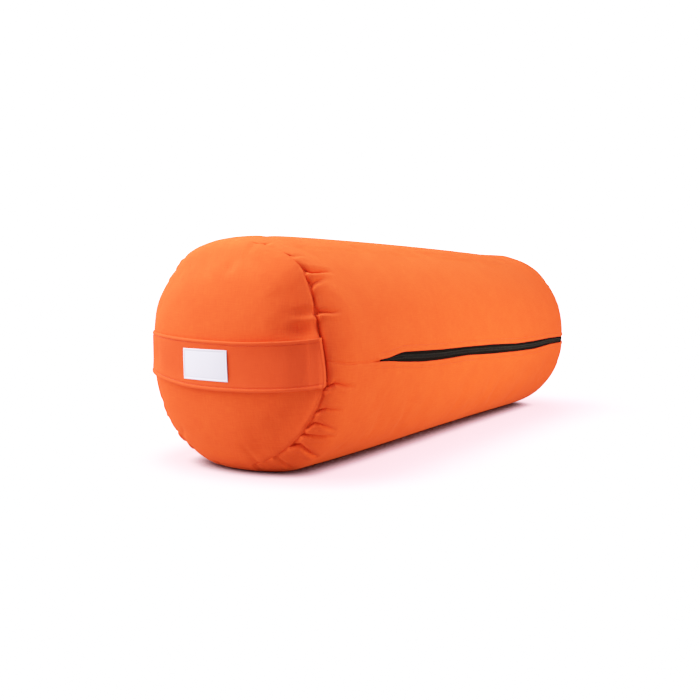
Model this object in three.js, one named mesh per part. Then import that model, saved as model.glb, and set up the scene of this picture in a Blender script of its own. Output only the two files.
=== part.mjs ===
// Round bolster cushion: a firm filled roll of orange cotton lying on its side, with a domed disc sewn into
// each end, a carry strap across the near end, a bare label on the strap and a zip along the front.
// Millimetres. +X runs along the roll away from the strap end, +Y to the back, +Z up, the floor at z = 0.
import * as THREE from 'three';

// Main sizes of the filled roll
const SEAM_TO_SEAM = 598; // along the axis, between the two end seams
const HALF_WIDTH = 120; // half the width, just inside the end seams
const HALF_HEIGHT = 115; // half the height before the roll settles on the floor
const CENTRE_HEIGHT = 109; // the axis above the floor: the roll has settled by 6
const SQUARENESS = 2.2; // 2 is an ellipse, more is a fuller shoulder
const MID_SWELL = 0.024; // the filling makes the middle this much thicker

// The drawn-in ends
const TURN_LENGTH = 28; // the side panel starts to turn in this far from the seam
const TURN_IN = 13; // and reaches the seam this much closer to the axis
const SEAM_LIFT = 3; // the seam ring sits this much higher than the axis of the roll
const CROWN = 29; // how far the filling domes each end panel past its seam

// Cloth and the gap between neighbouring pieces
const GAP = 0.3;
const PANEL_THICKNESS = 1.5;
const STRAP_THICKNESS = 1.8; // the cotton folded to several layers
const STRAP_END_THICKNESS = 1.1; // pulled flat where the seam holds it
const STRAP_TAPER = 24; // degrees of its turn over which it flattens
const STRAP_GAP = 0.45; // the strap bridges the facets of the dome
const LABEL_THICKNESS = 1;

// The carry strap and its label, on the near end panel
// The strap's line runs from the front seam, at 0 degrees, over the dome to the back seam, at 180.
const STRAP_LINE = [
  { turn: 0, middle: 108, halfWidth: 20.8 },
  { turn: 45, middle: 103.6, halfWidth: 20.8 },
  { turn: 90, middle: 103, halfWidth: 22 },
  { turn: 135, middle: 106, halfWidth: 23 },
  { turn: 180, middle: 109.5, halfWidth: 23.4 },
];
const LABEL = { back: 33.5, front: -21, bottom: 90, top: 118.4 };

// The zip: the two lips of the side panel beside it, by distance from the near seam.
// Before the tip the lips are sewn together to a closed seam.
const ZIP_LIPS = [
  { fromSeam: 0, upper: 108.6, lower: 107.4 },
  { fromSeam: 66, upper: 107.9, lower: 106.1 },
  { fromSeam: 82, upper: 108.6, lower: 105.6 },
  { fromSeam: 95, upper: 110.6, lower: 104.4 },
  { fromSeam: 108, upper: 112.7, lower: 103.1 },
  { fromSeam: 147, upper: 111.6, lower: 100.3 },
  { fromSeam: 190, upper: 110.3, lower: 99.4 },
  { fromSeam: 253, upper: 109.7, lower: 100 },
  { fromSeam: 326, upper: 108.3, lower: 97.1 },
  { fromSeam: 400, upper: 105.4, lower: 95.3 },
  { fromSeam: 465, upper: 105.6, lower: 94.4 },
  { fromSeam: 525, upper: 106.6, lower: 97 },
  { fromSeam: 598, upper: 106, lower: 98 },
];
const ZIP_START = 56;
const ZIP_FULL_DEPTH_AT = 66;
const ZIP_END = SEAM_TO_SEAM - 8;
const SEAM_GROOVE_DEPTH = 0.8;
const ZIP_CHANNEL_DEPTH = 3.4;
const CHANNEL_WALL_LEAN = 0.3; // the channel's floor is this much narrower on each side
const LIP_RISE = 0.8; // the folded edges beside the zip stand this proud
const LIP_SHOULDER = 4; // width of that rise
const TAPE_CLEARANCE = 0.45; // the tapes bridge the facets of the channel
const TAPE_THICKNESS = 1;
const TAPE_INNER_EDGE_LIMIT = 0.45; // share of the half opening that the slit takes at the narrow tip
const COIL_HALF_WIDTH = 3;
const COIL_WIDTH_LIMIT = 0.9; // share of the half opening that the coil takes at the narrow tip
const COIL_HEIGHT = 1.4;
const COIL_EDGE_DROP = 0.55; // share of its height that the coil loses towards its edges
const ZIP_PIECE_START = 71; // tapes and coil show from here
const ZIP_PIECE_END = SEAM_TO_SEAM - 12;

// Gathers where the side panel is eased onto the near end panel. The angle goes round the axis: 0 is the
// back, 90 the top, 180 the front with the zip, 270 the underside. Reach is along the roll from the seam,
// and a gather leans by its skew, in degrees, over its reach.
const NEAR_GATHERS = [
  { angle: 88, reach: 20, halfWidth: 9, depth: 1.6, skew: 4 },
  { angle: 103, reach: 22, halfWidth: 9, depth: 2.6, skew: 7 },
  { angle: 123, reach: 26, halfWidth: 9, depth: 2.8, skew: 4 },
  { angle: 135, reach: 42, halfWidth: 8, depth: 4.6, skew: 3 },
  { angle: 142, reach: 30, halfWidth: 9, depth: 3.4, skew: 3 },
  { angle: 159, reach: 26, halfWidth: 10, depth: 1.8, skew: 1 },
  { angle: 190, reach: 36, halfWidth: 8, depth: 4.4, skew: -2 },
  { angle: 203, reach: 28, halfWidth: 8, depth: 4, skew: -3 },
  { angle: 212, reach: 28, halfWidth: 8, depth: 4.6, skew: -2 },
  { angle: 220, reach: 30, halfWidth: 8, depth: 4, skew: -4 },
  { angle: 228, reach: 30, halfWidth: 9, depth: 5, skew: 1 },
  { angle: 241, reach: 24, halfWidth: 9, depth: 3.2, skew: 2 },
  { angle: 257, reach: 20, halfWidth: 9, depth: 2.6, skew: 0 },
  { angle: 279, reach: 20, halfWidth: 9, depth: 2.6, skew: -2 },
  { angle: 298, reach: 26, halfWidth: 8, depth: 3.4, skew: 2 },
  { angle: 306, reach: 24, halfWidth: 8, depth: 3.8, skew: 0 },
  { angle: 314, reach: 26, halfWidth: 8, depth: 3.2, skew: -2 },
  { angle: 322, reach: 24, halfWidth: 8, depth: 3.4, skew: 1 },
  { angle: 338, reach: 30, halfWidth: 9, depth: 3, skew: 3 },
  { angle: 4, reach: 24, halfWidth: 10, depth: 2.4, skew: -2 },
  { angle: 23, reach: 28, halfWidth: 9, depth: 3, skew: 2 },
  { angle: 38, reach: 30, halfWidth: 8, depth: 3.6, skew: -3 },
  { angle: 47, reach: 26, halfWidth: 8, depth: 3.4, skew: 0 },
  { angle: 60, reach: 26, halfWidth: 9, depth: 3, skew: 2 },
];
const FAR_GATHERS = [
  { angle: 12, reach: 28, halfWidth: 9, depth: 3, skew: 3 },
  { angle: 31, reach: 24, halfWidth: 8, depth: 3.4, skew: -2 },
  { angle: 44, reach: 30, halfWidth: 9, depth: 2.6, skew: 1 },
  { angle: 66, reach: 24, halfWidth: 9, depth: 2.2, skew: 3 },
  { angle: 92, reach: 22, halfWidth: 10, depth: 1.8, skew: -2 },
  { angle: 114, reach: 24, halfWidth: 9, depth: 2, skew: -3 },
  { angle: 139, reach: 22, halfWidth: 10, depth: 1.6, skew: 2 },
  { angle: 164, reach: 20, halfWidth: 10, depth: 1.6, skew: 1 },
  { angle: 199, reach: 22, halfWidth: 9, depth: 1.8, skew: -2 },
  { angle: 219, reach: 26, halfWidth: 9, depth: 2.4, skew: 3 },
  { angle: 236, reach: 24, halfWidth: 8, depth: 3, skew: -2 },
  { angle: 262, reach: 18, halfWidth: 9, depth: 2.4, skew: 0 },
  { angle: 288, reach: 20, halfWidth: 9, depth: 2.6, skew: 2 },
  { angle: 305, reach: 26, halfWidth: 8, depth: 3.4, skew: -3 },
  { angle: 318, reach: 28, halfWidth: 8, depth: 3.6, skew: 2 },
  { angle: 333, reach: 24, halfWidth: 9, depth: 3, skew: 0 },
  { angle: 352, reach: 30, halfWidth: 9, depth: 2.8, skew: -3 },
];

const GATHER_SHARPNESS = 1.6; // above 1 the fold is narrow between rounded shoulders
const GATHER_ONSET = 0.4; // below 0.5 it is deepest close to the seam

// Where the near seam's ring stands out from an even ring, or is pulled in, by angle
const NEAR_SEAM_WANDER = [
  { angle: 0, out: -1.2 },
  { angle: 12, out: 0.8 },
  { angle: 25, out: 2.3 },
  { angle: 45, out: -0.5 },
  { angle: 60, out: 0.8 },
  { angle: 90, out: 0 },
  { angle: 115, out: 2 },
  { angle: 135, out: 6 },
  { angle: 144, out: 2 },
  { angle: 151, out: -0.5 },
  { angle: 160, out: -3.8 },
  { angle: 168, out: -4.5 },
  { angle: 175, out: -2.5 },
  { angle: 188, out: 2.5 },
  { angle: 198, out: 0.6 },
  { angle: 210, out: -2 },
  { angle: 245, out: -3 },
  { angle: 270, out: 0 },
  { angle: 300, out: 0 },
  { angle: 318, out: 1.2 },
  { angle: 335, out: -0.8 },
  { angle: 350, out: -1.4 },
  { angle: 360, out: -1.2 },
];
const PULL_STARTS = 0.6; // share of the way from the middle of the panel to its seam

// Where the filling lies fuller: along is in millimetres from its middle, round in degrees
const FILLING_LUMPS = [
  { fromSeam: 562, angle: 114, along: 70, round: 36, out: 4.4 },
  { fromSeam: 575, angle: 200, along: 50, round: 25, out: 1.5 },
  { fromSeam: 20, angle: 60, along: 45, round: 16, out: 1.2 },
  { fromSeam: 18, angle: 318, along: 45, round: 20, out: 2.5 },
];

// Hollows pressed into the near end panel, by place on the panel
const PANEL_HOLLOWS = [
  { y: -96, z: 140, halfWidth: 16, halfHeight: 11, depth: 3.2 },
  { y: -94, z: 155, halfWidth: 12, halfHeight: 6, depth: 1.4 },
  { y: -38, z: 22, halfWidth: 16, halfHeight: 10, depth: 1.6 },
];

const toRadians = THREE.MathUtils.degToRad;
const signedPower = (value, exponent) => Math.sign(value) * Math.abs(value) ** exponent;
const between = (from, to, share) => from + (to - from) * share;

const angleBetween = (angle, other) => ((angle - other + 540) % 360) - 180;

// A value read off a table whose rows are in order of their key column, straight from row to row
function readTable(table, key, column, place) {
  const next = table.findIndex((row) => row[key] >= place);
  if (next <= 0) return table[next === 0 ? 0 : table.length - 1][column];
  const before = table[next - 1];
  const after = table[next];
  return between(before[column], after[column], (place - before[key]) / (after[key] - before[key]));
}

// How much the roll is drawn in at one distance from the nearer end seam: 1 at the seam, 0 past the turn
function turnShare(fromEnd) {
  const towardsSeam = Math.max(0, 1 - fromEnd / TURN_LENGTH);
  return 1 - Math.sqrt(1 - towardsSeam ** 2);
}

// Depth of the gathers of one end at a point of the side panel
function gatherDepth(gathers, fromEnd, angle) {
  let depth = 0;
  for (const gather of gathers) {
    const along = fromEnd / gather.reach;
    if (along >= 1) continue;
    const middle = gather.angle + gather.skew * along;
    const across = Math.abs(toRadians(angleBetween(angle, middle)) * HALF_HEIGHT) / gather.halfWidth;
    if (across >= 1) continue;
    depth += gather.depth * (1 - across) ** GATHER_SHARPNESS * Math.sin(Math.PI * along ** GATHER_ONSET);
  }
  return depth;
}

function lumpHeight(fromSeam, fromEnd, angle) {
  let height = 0;
  for (const lump of FILLING_LUMPS) {
    const along = (fromSeam - lump.fromSeam) / lump.along;
    const away = Math.hypot(along, angleBetween(angle, lump.angle) / lump.round);
    if (away < 1) height += lump.out * (1 - away ** 2) ** 2;
  }
  return height * (1 - turnShare(fromEnd));
}

// The side panel's surface: distance from the near seam, angle round the axis, and height over the cloth
function sidePoint(fromSeam, angle, raised = 0) {
  const fromEnd = Math.min(fromSeam, SEAM_TO_SEAM - fromSeam);
  const along = fromSeam / SEAM_TO_SEAM;
  const swell = 1 + MID_SWELL * 4 * along * (1 - along);
  const gathers = along < 0.5 ? NEAR_GATHERS : FAR_GATHERS;
  const outwards = raised + lumpHeight(fromSeam, fromEnd, angle);
  const inset = TURN_IN * turnShare(fromEnd) + gatherDepth(gathers, fromEnd, angle) - outwards;
  const cosine = Math.cos(toRadians(angle));
  const sine = Math.sin(toRadians(angle));
  const lift = SEAM_LIFT * Math.max(0, 1 - fromEnd / TURN_LENGTH) ** 2;
  const y = (HALF_WIDTH * swell - inset) * signedPower(cosine, 2 / SQUARENESS);
  const z = CENTRE_HEIGHT + lift + (HALF_HEIGHT * swell - inset) * signedPower(sine, 2 / SQUARENESS);
  return new THREE.Vector3(fromSeam - SEAM_TO_SEAM / 2, y, z);
}

// The angle at which the front of the roll is at a height
function frontAngle(height) {
  const sine = signedPower((CENTRE_HEIGHT - height) / HALF_HEIGHT, SQUARENESS / 2);
  return 180 + THREE.MathUtils.radToDeg(Math.asin(sine));
}

// The size of the end panel inside its seam
const PANEL_HALF_WIDTH = HALF_WIDTH - TURN_IN;
const PANEL_HALF_HEIGHT = HALF_HEIGHT - TURN_IN;
const PANEL_CENTRE = CENTRE_HEIGHT + SEAM_LIFT;

// Pulls a point with the near seam where its ring isn't even. The pull fades towards the middle of the
// end panel and over the turn of the side panel.
function followNearSeam(point) {
  const across = point.y / PANEL_HALF_WIDTH;
  const up = (point.z - PANEL_CENTRE) / PANEL_HALF_HEIGHT;
  const reach = (Math.abs(across) ** SQUARENESS + Math.abs(up) ** SQUARENESS) ** (1 / SQUARENESS);
  const fromSeam = point.x + SEAM_TO_SEAM / 2;
  const overTurn = Math.max(0, 1 - fromSeam / TURN_LENGTH) ** 2;
  const pull = fromSeam > 0 ? overTurn : THREE.MathUtils.smoothstep(reach, PULL_STARTS, 1);
  if (pull === 0) return point;
  const sine = signedPower(up, SQUARENESS / 2);
  const cosine = signedPower(across, SQUARENESS / 2);
  const angle = (THREE.MathUtils.radToDeg(Math.atan2(sine, cosine)) + 360) % 360;
  const away = new THREE.Vector3(0, point.y, point.z - PANEL_CENTRE).normalize();
  return point.addScaledVector(away, pull * readTable(NEAR_SEAM_WANDER, 'angle', 'out', angle));
}

// A point over the domed end panel: y and z of the cloth below it, and its height over that cloth.
// End is -1 for the near end and 1 for the far end, and standOff is the gap to the seam's plane.
function domePoint(end, y, z, raised, standOff = GAP) {
  const across = Math.abs(y) / PANEL_HALF_WIDTH;
  const up = Math.abs(z - PANEL_CENTRE) / PANEL_HALF_HEIGHT;
  const reach = Math.max(1e-9, (across ** SQUARENESS + up ** SQUARENESS) ** (1 / SQUARENESS));
  const height = Math.sqrt(Math.max(0, 1 - reach ** 2));
  const slope = reach ** (2 - SQUARENESS);
  const normal = new THREE.Vector3(
    end * height / CROWN,
    Math.sign(y) * slope * across ** (SQUARENESS - 1) / PANEL_HALF_WIDTH,
    Math.sign(z - PANEL_CENTRE) * slope * up ** (SQUARENESS - 1) / PANEL_HALF_HEIGHT,
  ).normalize();
  const x = end * (SEAM_TO_SEAM / 2 + standOff + CROWN * height);
  return new THREE.Vector3(x, y, z).addScaledVector(normal, raised);
}

function panelHollow(y, z) {
  let depth = 0;
  for (const hollow of PANEL_HOLLOWS) {
    const away = Math.hypot((y - hollow.y) / hollow.halfWidth, (z - hollow.z) / hollow.halfHeight);
    if (away < 1) depth += hollow.depth * (1 - away ** 2) ** 2;
  }
  return depth;
}

// A point of an end panel: steepness is 0 at the seam and 90 at the middle
function panelPoint(end, steepness, angle, raised, standOff = GAP) {
  const share = Math.cos(toRadians(steepness));
  const across = signedPower(Math.cos(toRadians(angle)), 2 / SQUARENESS);
  const up = signedPower(Math.sin(toRadians(angle)), 2 / SQUARENESS);
  const y = PANEL_HALF_WIDTH * share * across;
  const z = PANEL_CENTRE + PANEL_HALF_HEIGHT * share * up;
  const hollow = end < 0 && steepness > 0 ? panelHollow(y, z) : 0;
  return domePoint(end, y, z, raised - hollow, standOff);
}

// A closed body from its points and triangles, turned so that its faces point outwards
function closedBody(places, triangles) {
  const points = places.map(followNearSeam);
  points.forEach((point) => point.setZ(Math.max(0, point.z)));
  const volume = triangles.reduce((sum, [a, b, c]) => {
    const cross = new THREE.Vector3().crossVectors(points[b], points[c]);
    return sum + points[a].dot(cross);
  }, 0);
  const outward = volume > 0 ? triangles : triangles.map(([a, b, c]) => [a, c, b]);
  const geometry = new THREE.BufferGeometry().setFromPoints(points);
  geometry.setIndex(outward.flat());
  geometry.computeVertexNormals();
  return geometry;
}

// Triangles between two rings of points that lie in the same order
function bridge(triangles, first, second) {
  const count = first.length;
  for (let i = 0; i < count; i += 1) {
    const next = (i + 1) % count;
    triangles.push([first[i], first[next], second[next]], [first[i], second[next], second[i]]);
  }
}

// Triangles between two rings with unlike numbers of points, walked by their share of the way round
function bridgeUneven(triangles, first, firstShares, second, secondShares) {
  let i = 0;
  let j = 0;
  while (i < first.length || j < second.length) {
    const firstNext = i + 1 < first.length ? firstShares[i + 1] : 1;
    const secondNext = j + 1 < second.length ? secondShares[j + 1] : 1;
    const a = first[i % first.length];
    const b = second[j % second.length];
    if (j >= second.length || (i < first.length && firstNext <= secondNext)) {
      triangles.push([a, first[(i + 1) % first.length], b]);
      i += 1;
    } else {
      triangles.push([a, second[(j + 1) % second.length], b]);
      j += 1;
    }
  }
}

function fan(triangles, ring, tip) {
  ring.forEach((corner, i) => triangles.push([corner, ring[(i + 1) % ring.length], tip]));
}

// Rings and spokes of an end panel's faces, in degrees
const PANEL_STEP = 6;
const FIRST_SPOKE = 189;
const PANEL_ANGLES = Array.from({ length: 360 / PANEL_STEP }, (_, i) => FIRST_SPOKE + i * PANEL_STEP);
const PANEL_STEEPNESS = [0, 12, 26, 42, 60, 78];

// One face of an end panel, or the dome under it: triangles from the seam to the middle. Gives its rim.
function domeFace(points, triangles, end, raised, standOff, flipped) {
  const rings = PANEL_STEEPNESS.map((steepness) => PANEL_ANGLES.map((angle) => {
    points.push(panelPoint(end, steepness, angle, raised, standOff));
    return points.length - 1;
  }));
  points.push(domePoint(end, 0, PANEL_CENTRE, raised, standOff));
  const face = [];
  for (let i = 0; i + 1 < rings.length; i += 1) bridge(face, rings[i], rings[i + 1]);
  fan(face, rings.at(-1), points.length - 1);
  triangles.push(...(flipped ? face.map(([a, b, c]) => [a, c, b]) : face));
  return rings[0];
}

// A domed disc of cloth
function endPanel(end) {
  const points = [];
  const triangles = [];
  const outerRim = domeFace(points, triangles, end, 0, GAP, false);
  const innerRim = domeFace(points, triangles, end, -PANEL_THICKNESS, GAP, true);
  bridge(triangles, innerRim, outerRim);
  return closedBody(points, triangles);
}

// The side panel's columns: every 3 degrees, but for the six that follow the zip's lips
const COLUMN_STEP = 3;
const FIRST_COLUMN = 192;
const LAST_COLUMN = 174 + 360;
const COLUMN_ANGLES = [];
for (let angle = FIRST_COLUMN; angle <= LAST_COLUMN; angle += COLUMN_STEP) COLUMN_ANGLES.push(angle);

// How far along the seam groove or the zip's channel has opened at a distance from the near seam
function zipOpening(fromSeam) {
  if (fromSeam <= ZIP_START || fromSeam > ZIP_END) return 0;
  return Math.min(1, (fromSeam - ZIP_START) / (ZIP_FULL_DEPTH_AT - ZIP_START));
}

function zipColumns(fromSeam) {
  const upper = readTable(ZIP_LIPS, 'fromSeam', 'upper', fromSeam);
  const lower = readTable(ZIP_LIPS, 'fromSeam', 'lower', fromSeam);
  const opening = zipOpening(fromSeam);
  const depth = between(SEAM_GROOVE_DEPTH, ZIP_CHANNEL_DEPTH, opening);
  const rise = LIP_RISE * opening;
  return [
    { height: upper + LIP_SHOULDER, raised: 0 },
    { height: upper, raised: rise },
    { height: upper - CHANNEL_WALL_LEAN, raised: -depth },
    { height: lower + CHANNEL_WALL_LEAN, raised: -depth },
    { height: lower, raised: rise },
    { height: lower - LIP_SHOULDER, raised: 0 },
  ].map(({ height, raised }) => ({ angle: frontAngle(height), raised }));
}

function sideRow(fromSeam) {
  const zip = zipColumns(fromSeam).map(({ angle, raised }) => sidePoint(fromSeam, angle, raised));
  return [...COLUMN_ANGLES.map((angle) => sidePoint(fromSeam, angle)), ...zip];
}

// Rows of points along the roll: degrees round the turn at each end, and distances from the near seam
const TURN_DEGREES = [0, 14, 28, 42, 56, 72, 90];
const MIDDLE_ROWS = [42, 56, 66, 74, 82, 95, 108, 147, 190, 253, 326, 400, 465, 525];

// The filled roll: the side panel with the filling, domed under both end panels
function filledSidePanel() {
  const turnRows = TURN_DEGREES.map((turn) => TURN_LENGTH * (1 - Math.cos(toRadians(turn))));
  const rows = [...turnRows, ...MIDDLE_ROWS, ...turnRows.map((row) => SEAM_TO_SEAM - row).reverse()];
  const points = [];
  const triangles = [];
  const rings = rows.map((fromSeam) => sideRow(fromSeam).map((point) => points.push(point) - 1));
  for (let i = 0; i + 1 < rings.length; i += 1) bridge(triangles, rings[i], rings[i + 1]);
  const zipShares = zipColumns(0).map(({ angle }) => (angle + 360 - FIRST_COLUMN) / 360);
  const sideShares = [...COLUMN_ANGLES.map((angle) => (angle - FIRST_COLUMN) / 360), ...zipShares];
  const panelShares = PANEL_ANGLES.map((angle) => (angle - FIRST_COLUMN) / 360);
  for (const end of [-1, 1]) {
    const ends = [];
    const underRim = domeFace(points, ends, end, -PANEL_THICKNESS - GAP, 0, false);
    bridgeUneven(ends, end < 0 ? rings[0] : rings.at(-1), sideShares, underRim, panelShares);
    triangles.push(...(end < 0 ? ends.map(([a, b, c]) => [a, c, b]) : ends));
  }
  return closedBody(points, triangles);
}

// A sheet between two heights over a surface, from a grid of places on it
function sheet(surface, alongs, acrosses, inner, outer) {
  const points = [];
  const grid = (height) => alongs.map((along) => acrosses.map((across) => {
    points.push(surface(along, across, height(along, across)));
    return points.length - 1;
  }));
  const top = grid(outer);
  const bottom = grid(inner);
  const triangles = [];
  const quad = (a, b, c, d) => triangles.push([a, b, c], [a, c, d]);
  const lastAlong = alongs.length - 1;
  const lastAcross = acrosses.length - 1;
  for (let i = 0; i < lastAlong; i += 1) {
    for (let j = 0; j < lastAcross; j += 1) {
      quad(top[i][j], top[i + 1][j], top[i + 1][j + 1], top[i][j + 1]);
      quad(bottom[i][j], bottom[i][j + 1], bottom[i + 1][j + 1], bottom[i + 1][j]);
    }
    quad(top[i][0], bottom[i][0], bottom[i + 1][0], top[i + 1][0]);
    quad(top[i][lastAcross], top[i + 1][lastAcross], bottom[i + 1][lastAcross], bottom[i][lastAcross]);
  }
  for (let j = 0; j < lastAcross; j += 1) {
    quad(top[0][j], top[0][j + 1], bottom[0][j + 1], bottom[0][j]);
    quad(top[lastAlong][j], bottom[lastAlong][j], bottom[lastAlong][j + 1], top[lastAlong][j + 1]);
  }
  return closedBody(points, triangles);
}

function evenly(from, to, count) {
  return Array.from({ length: count }, (_, i) => between(from, to, i / (count - 1)));
}

// The strap lies on the near dome from seam to seam
function strapPoint(turn, across, raised) {
  const halfWidth = readTable(STRAP_LINE, 'turn', 'halfWidth', turn);
  const z = readTable(STRAP_LINE, 'turn', 'middle', turn) + across * halfWidth;
  const up = Math.abs(z - PANEL_CENTRE) / PANEL_HALF_HEIGHT;
  const y = -Math.cos(toRadians(turn)) * PANEL_HALF_WIDTH * (1 - up ** SQUARENESS) ** (1 / SQUARENESS);
  return domePoint(-1, y, z, raised);
}

const STRAP_STEPS = 29;
const STRAP_STEPS_ACROSS = 7;

function carryStrap() {
  const top = (turn) => {
    const fullness = Math.min(1, Math.min(turn, 180 - turn) / STRAP_TAPER);
    return STRAP_GAP + between(STRAP_END_THICKNESS, STRAP_THICKNESS, fullness);
  };
  const turns = evenly(0, 180, STRAP_STEPS);
  return sheet(strapPoint, turns, evenly(-1, 1, STRAP_STEPS_ACROSS), () => STRAP_GAP, top);
}

const LABEL_STEPS = 8;
const LABEL_STEPS_UP = 5;

function label() {
  const bottom = STRAP_GAP + STRAP_THICKNESS + GAP;
  const surface = (y, z, raised) => domePoint(-1, y, z, raised);
  const ys = evenly(LABEL.front, LABEL.back, LABEL_STEPS);
  const zs = evenly(LABEL.bottom, LABEL.top, LABEL_STEPS_UP);
  return sheet(surface, ys, zs, () => bottom, () => bottom + LABEL_THICKNESS);
}

// Places along the zip, closer together where its lips run apart
const ZIP_STATIONS = [
  ZIP_PIECE_START, 76, 82, 89, 95, 101, 108, 120, 134, 147, 168, 190, 211, 232, 253, 277, 302, 326, 351, 376,
  400, 422, 444, 465, 485, 505, 525, 545, 560, 570, 578, ZIP_PIECE_END,
];

// A point of the zip: side is -1 at the lower lip, 0 in the middle and 1 at the upper lip
function zipPoint(fromSeam, side, raised) {
  const upper = readTable(ZIP_LIPS, 'fromSeam', 'upper', fromSeam) - CHANNEL_WALL_LEAN - GAP;
  const lower = readTable(ZIP_LIPS, 'fromSeam', 'lower', fromSeam) + CHANNEL_WALL_LEAN + GAP;
  const height = between(lower, upper, (side + 1) / 2);
  return sidePoint(fromSeam, frontAngle(height), raised);
}

const TAPE_BOTTOM = TAPE_CLEARANCE - ZIP_CHANNEL_DEPTH;

function zipTape(side) {
  const surface = (fromSeam, across, raised) => {
    const span = zipPoint(fromSeam, 1, 0).z - zipPoint(fromSeam, -1, 0).z;
    const innerEdge = Math.min(TAPE_INNER_EDGE_LIMIT, GAP / span);
    return zipPoint(fromSeam, side * between(innerEdge, 1, across), raised);
  };
  return sheet(surface, ZIP_STATIONS, [0, 1], () => TAPE_BOTTOM, () => TAPE_BOTTOM + TAPE_THICKNESS);
}

// Columns of points across the coil, in shares of its half width
const COIL_COLUMNS = [-1, -0.45, 0.45, 1];

function zipCoil() {
  const bottom = TAPE_BOTTOM + TAPE_THICKNESS + GAP;
  const surface = (fromSeam, across, raised) => {
    const halfSpan = (zipPoint(fromSeam, 1, 0).z - zipPoint(fromSeam, -1, 0).z) / 2;
    const halfWidth = Math.min(COIL_WIDTH_LIMIT, COIL_HALF_WIDTH / halfSpan);
    return zipPoint(fromSeam, across * halfWidth, raised);
  };
  const crest = (fromSeam, across) => bottom + COIL_HEIGHT * (1 - COIL_EDGE_DROP * across ** 2);
  return sheet(surface, ZIP_STATIONS, COIL_COLUMNS, () => bottom, crest);
}

const ORANGE_COTTON = { color: 0xf57a3c, roughness: 0.92, metalness: 0 };
const WHITE_LABEL = { color: 0xf0ecf2, roughness: 0.7, metalness: 0 };
const BLACK_ZIP = { color: 0x2a2222, roughness: 0.6, metalness: 0 };

function piece(name, geometry, finish) {
  const mesh = new THREE.Mesh(geometry, new THREE.MeshStandardMaterial(finish));
  mesh.name = name;
  return mesh;
}

const cushion = new THREE.Group();
cushion.add(
  piece('filled_side_panel', filledSidePanel(), ORANGE_COTTON),
  piece('end_panel_near', endPanel(-1), ORANGE_COTTON),
  piece('end_panel_far', endPanel(1), ORANGE_COTTON),
  piece('carry_strap', carryStrap(), ORANGE_COTTON),
  piece('label', label(), WHITE_LABEL),
  piece('zip_tape_upper', zipTape(1), BLACK_ZIP),
  piece('zip_tape_lower', zipTape(-1), BLACK_ZIP),
  piece('zip_coil', zipCoil(), BLACK_ZIP),
);

// The origin is on the floor under the middle of the whole cushion
const box = new THREE.Box3().setFromObject(cushion);
const middle = box.getCenter(new THREE.Vector3());
cushion.position.set(-middle.x, -middle.y, 0);

export default cushion;
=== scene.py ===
# %% [markdown]
# # A round bolster cushion
# The real cushion is a firm filled roll of matte orange cotton, about 65 cm long. Each end is closed with a
# sewn-in disc that the filling domes, a flat carry strap crosses one of them, and a black zip runs along
# the side. The solids of the frame already hold its sizes. Here each piece of cloth is laid over them with
# its folds, seams and stitches.

# %% Load the frame
import math
from collections import namedtuple

import bpy
import numpy as np
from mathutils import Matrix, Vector
from mathutils.kdtree import KDTree


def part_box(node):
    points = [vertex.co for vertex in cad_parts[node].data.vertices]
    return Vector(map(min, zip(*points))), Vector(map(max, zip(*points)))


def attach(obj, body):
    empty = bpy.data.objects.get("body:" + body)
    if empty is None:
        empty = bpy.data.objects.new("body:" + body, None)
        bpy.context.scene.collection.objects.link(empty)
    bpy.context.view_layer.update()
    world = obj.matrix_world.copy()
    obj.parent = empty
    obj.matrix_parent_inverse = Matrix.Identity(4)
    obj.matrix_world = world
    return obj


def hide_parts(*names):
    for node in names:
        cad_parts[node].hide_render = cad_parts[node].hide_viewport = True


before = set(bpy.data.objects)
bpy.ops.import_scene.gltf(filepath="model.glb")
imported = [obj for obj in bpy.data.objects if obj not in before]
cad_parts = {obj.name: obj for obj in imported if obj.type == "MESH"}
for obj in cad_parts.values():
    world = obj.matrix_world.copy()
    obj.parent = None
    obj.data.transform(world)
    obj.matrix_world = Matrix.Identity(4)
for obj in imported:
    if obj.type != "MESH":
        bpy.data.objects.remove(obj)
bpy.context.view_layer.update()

scene = bpy.context.scene
MM = 0.001
TINY = 1e-9  # keeps a division by a length from failing at zero
print("solids of the frame:", sorted(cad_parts))

# %% [markdown]
# ## The camera
# The photograph was taken from about a metre away, a little above the cushion's middle, looking half along
# the roll. The eye's place and the way it looks were worked out from the outline of the roll in the
# photograph. A lens of 40 mm on a 36 mm sensor gives the same perspective: a camera further off would show
# a slimmer far end.

# %% Set up the camera
EYE = Vector((-843.1, -500.3, 170.2)) * MM
LOOK = Vector((0.8269, 0.5575, -0.0738))
LENS_MM = 39.86

camera_data = bpy.data.cameras.new("camera")
camera_data.lens = LENS_MM
camera_data.sensor_width = 36
camera = bpy.data.objects.new("camera", camera_data)
camera.location = EYE
camera.rotation_mode = "QUATERNION"
camera.rotation_quaternion = LOOK.to_track_quat("-Z", "Y")
scene.collection.objects.link(camera)
scene.camera = camera

# %% [markdown]
# ## A few tools
# Blender's operators act on whatever is selected, so one helper selects exactly the pieces that come next.
# Two more read and write the points of a mesh all at once, which is far quicker than one by one.

# %% Helpers for meshes


def select_only(*pieces):
    """Selects these objects and no others, and makes the first one active."""
    if bpy.context.mode != "OBJECT":
        bpy.ops.object.mode_set(mode="OBJECT")
    bpy.ops.object.select_all(action="DESELECT")
    for piece in pieces:
        piece.select_set(True)
    bpy.context.view_layer.objects.active = pieces[0]


def points_of(piece):
    """The points of a mesh, one row each."""
    flat = np.empty(len(piece.data.vertices) * 3)
    piece.data.vertices.foreach_get("co", flat)
    return flat.reshape(-1, 3)


def lay_points(piece, points):
    """Puts the points of a mesh in these places."""
    piece.data.vertices.foreach_set("co", np.asarray(points, np.float32).ravel())
    piece.data.update()


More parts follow.
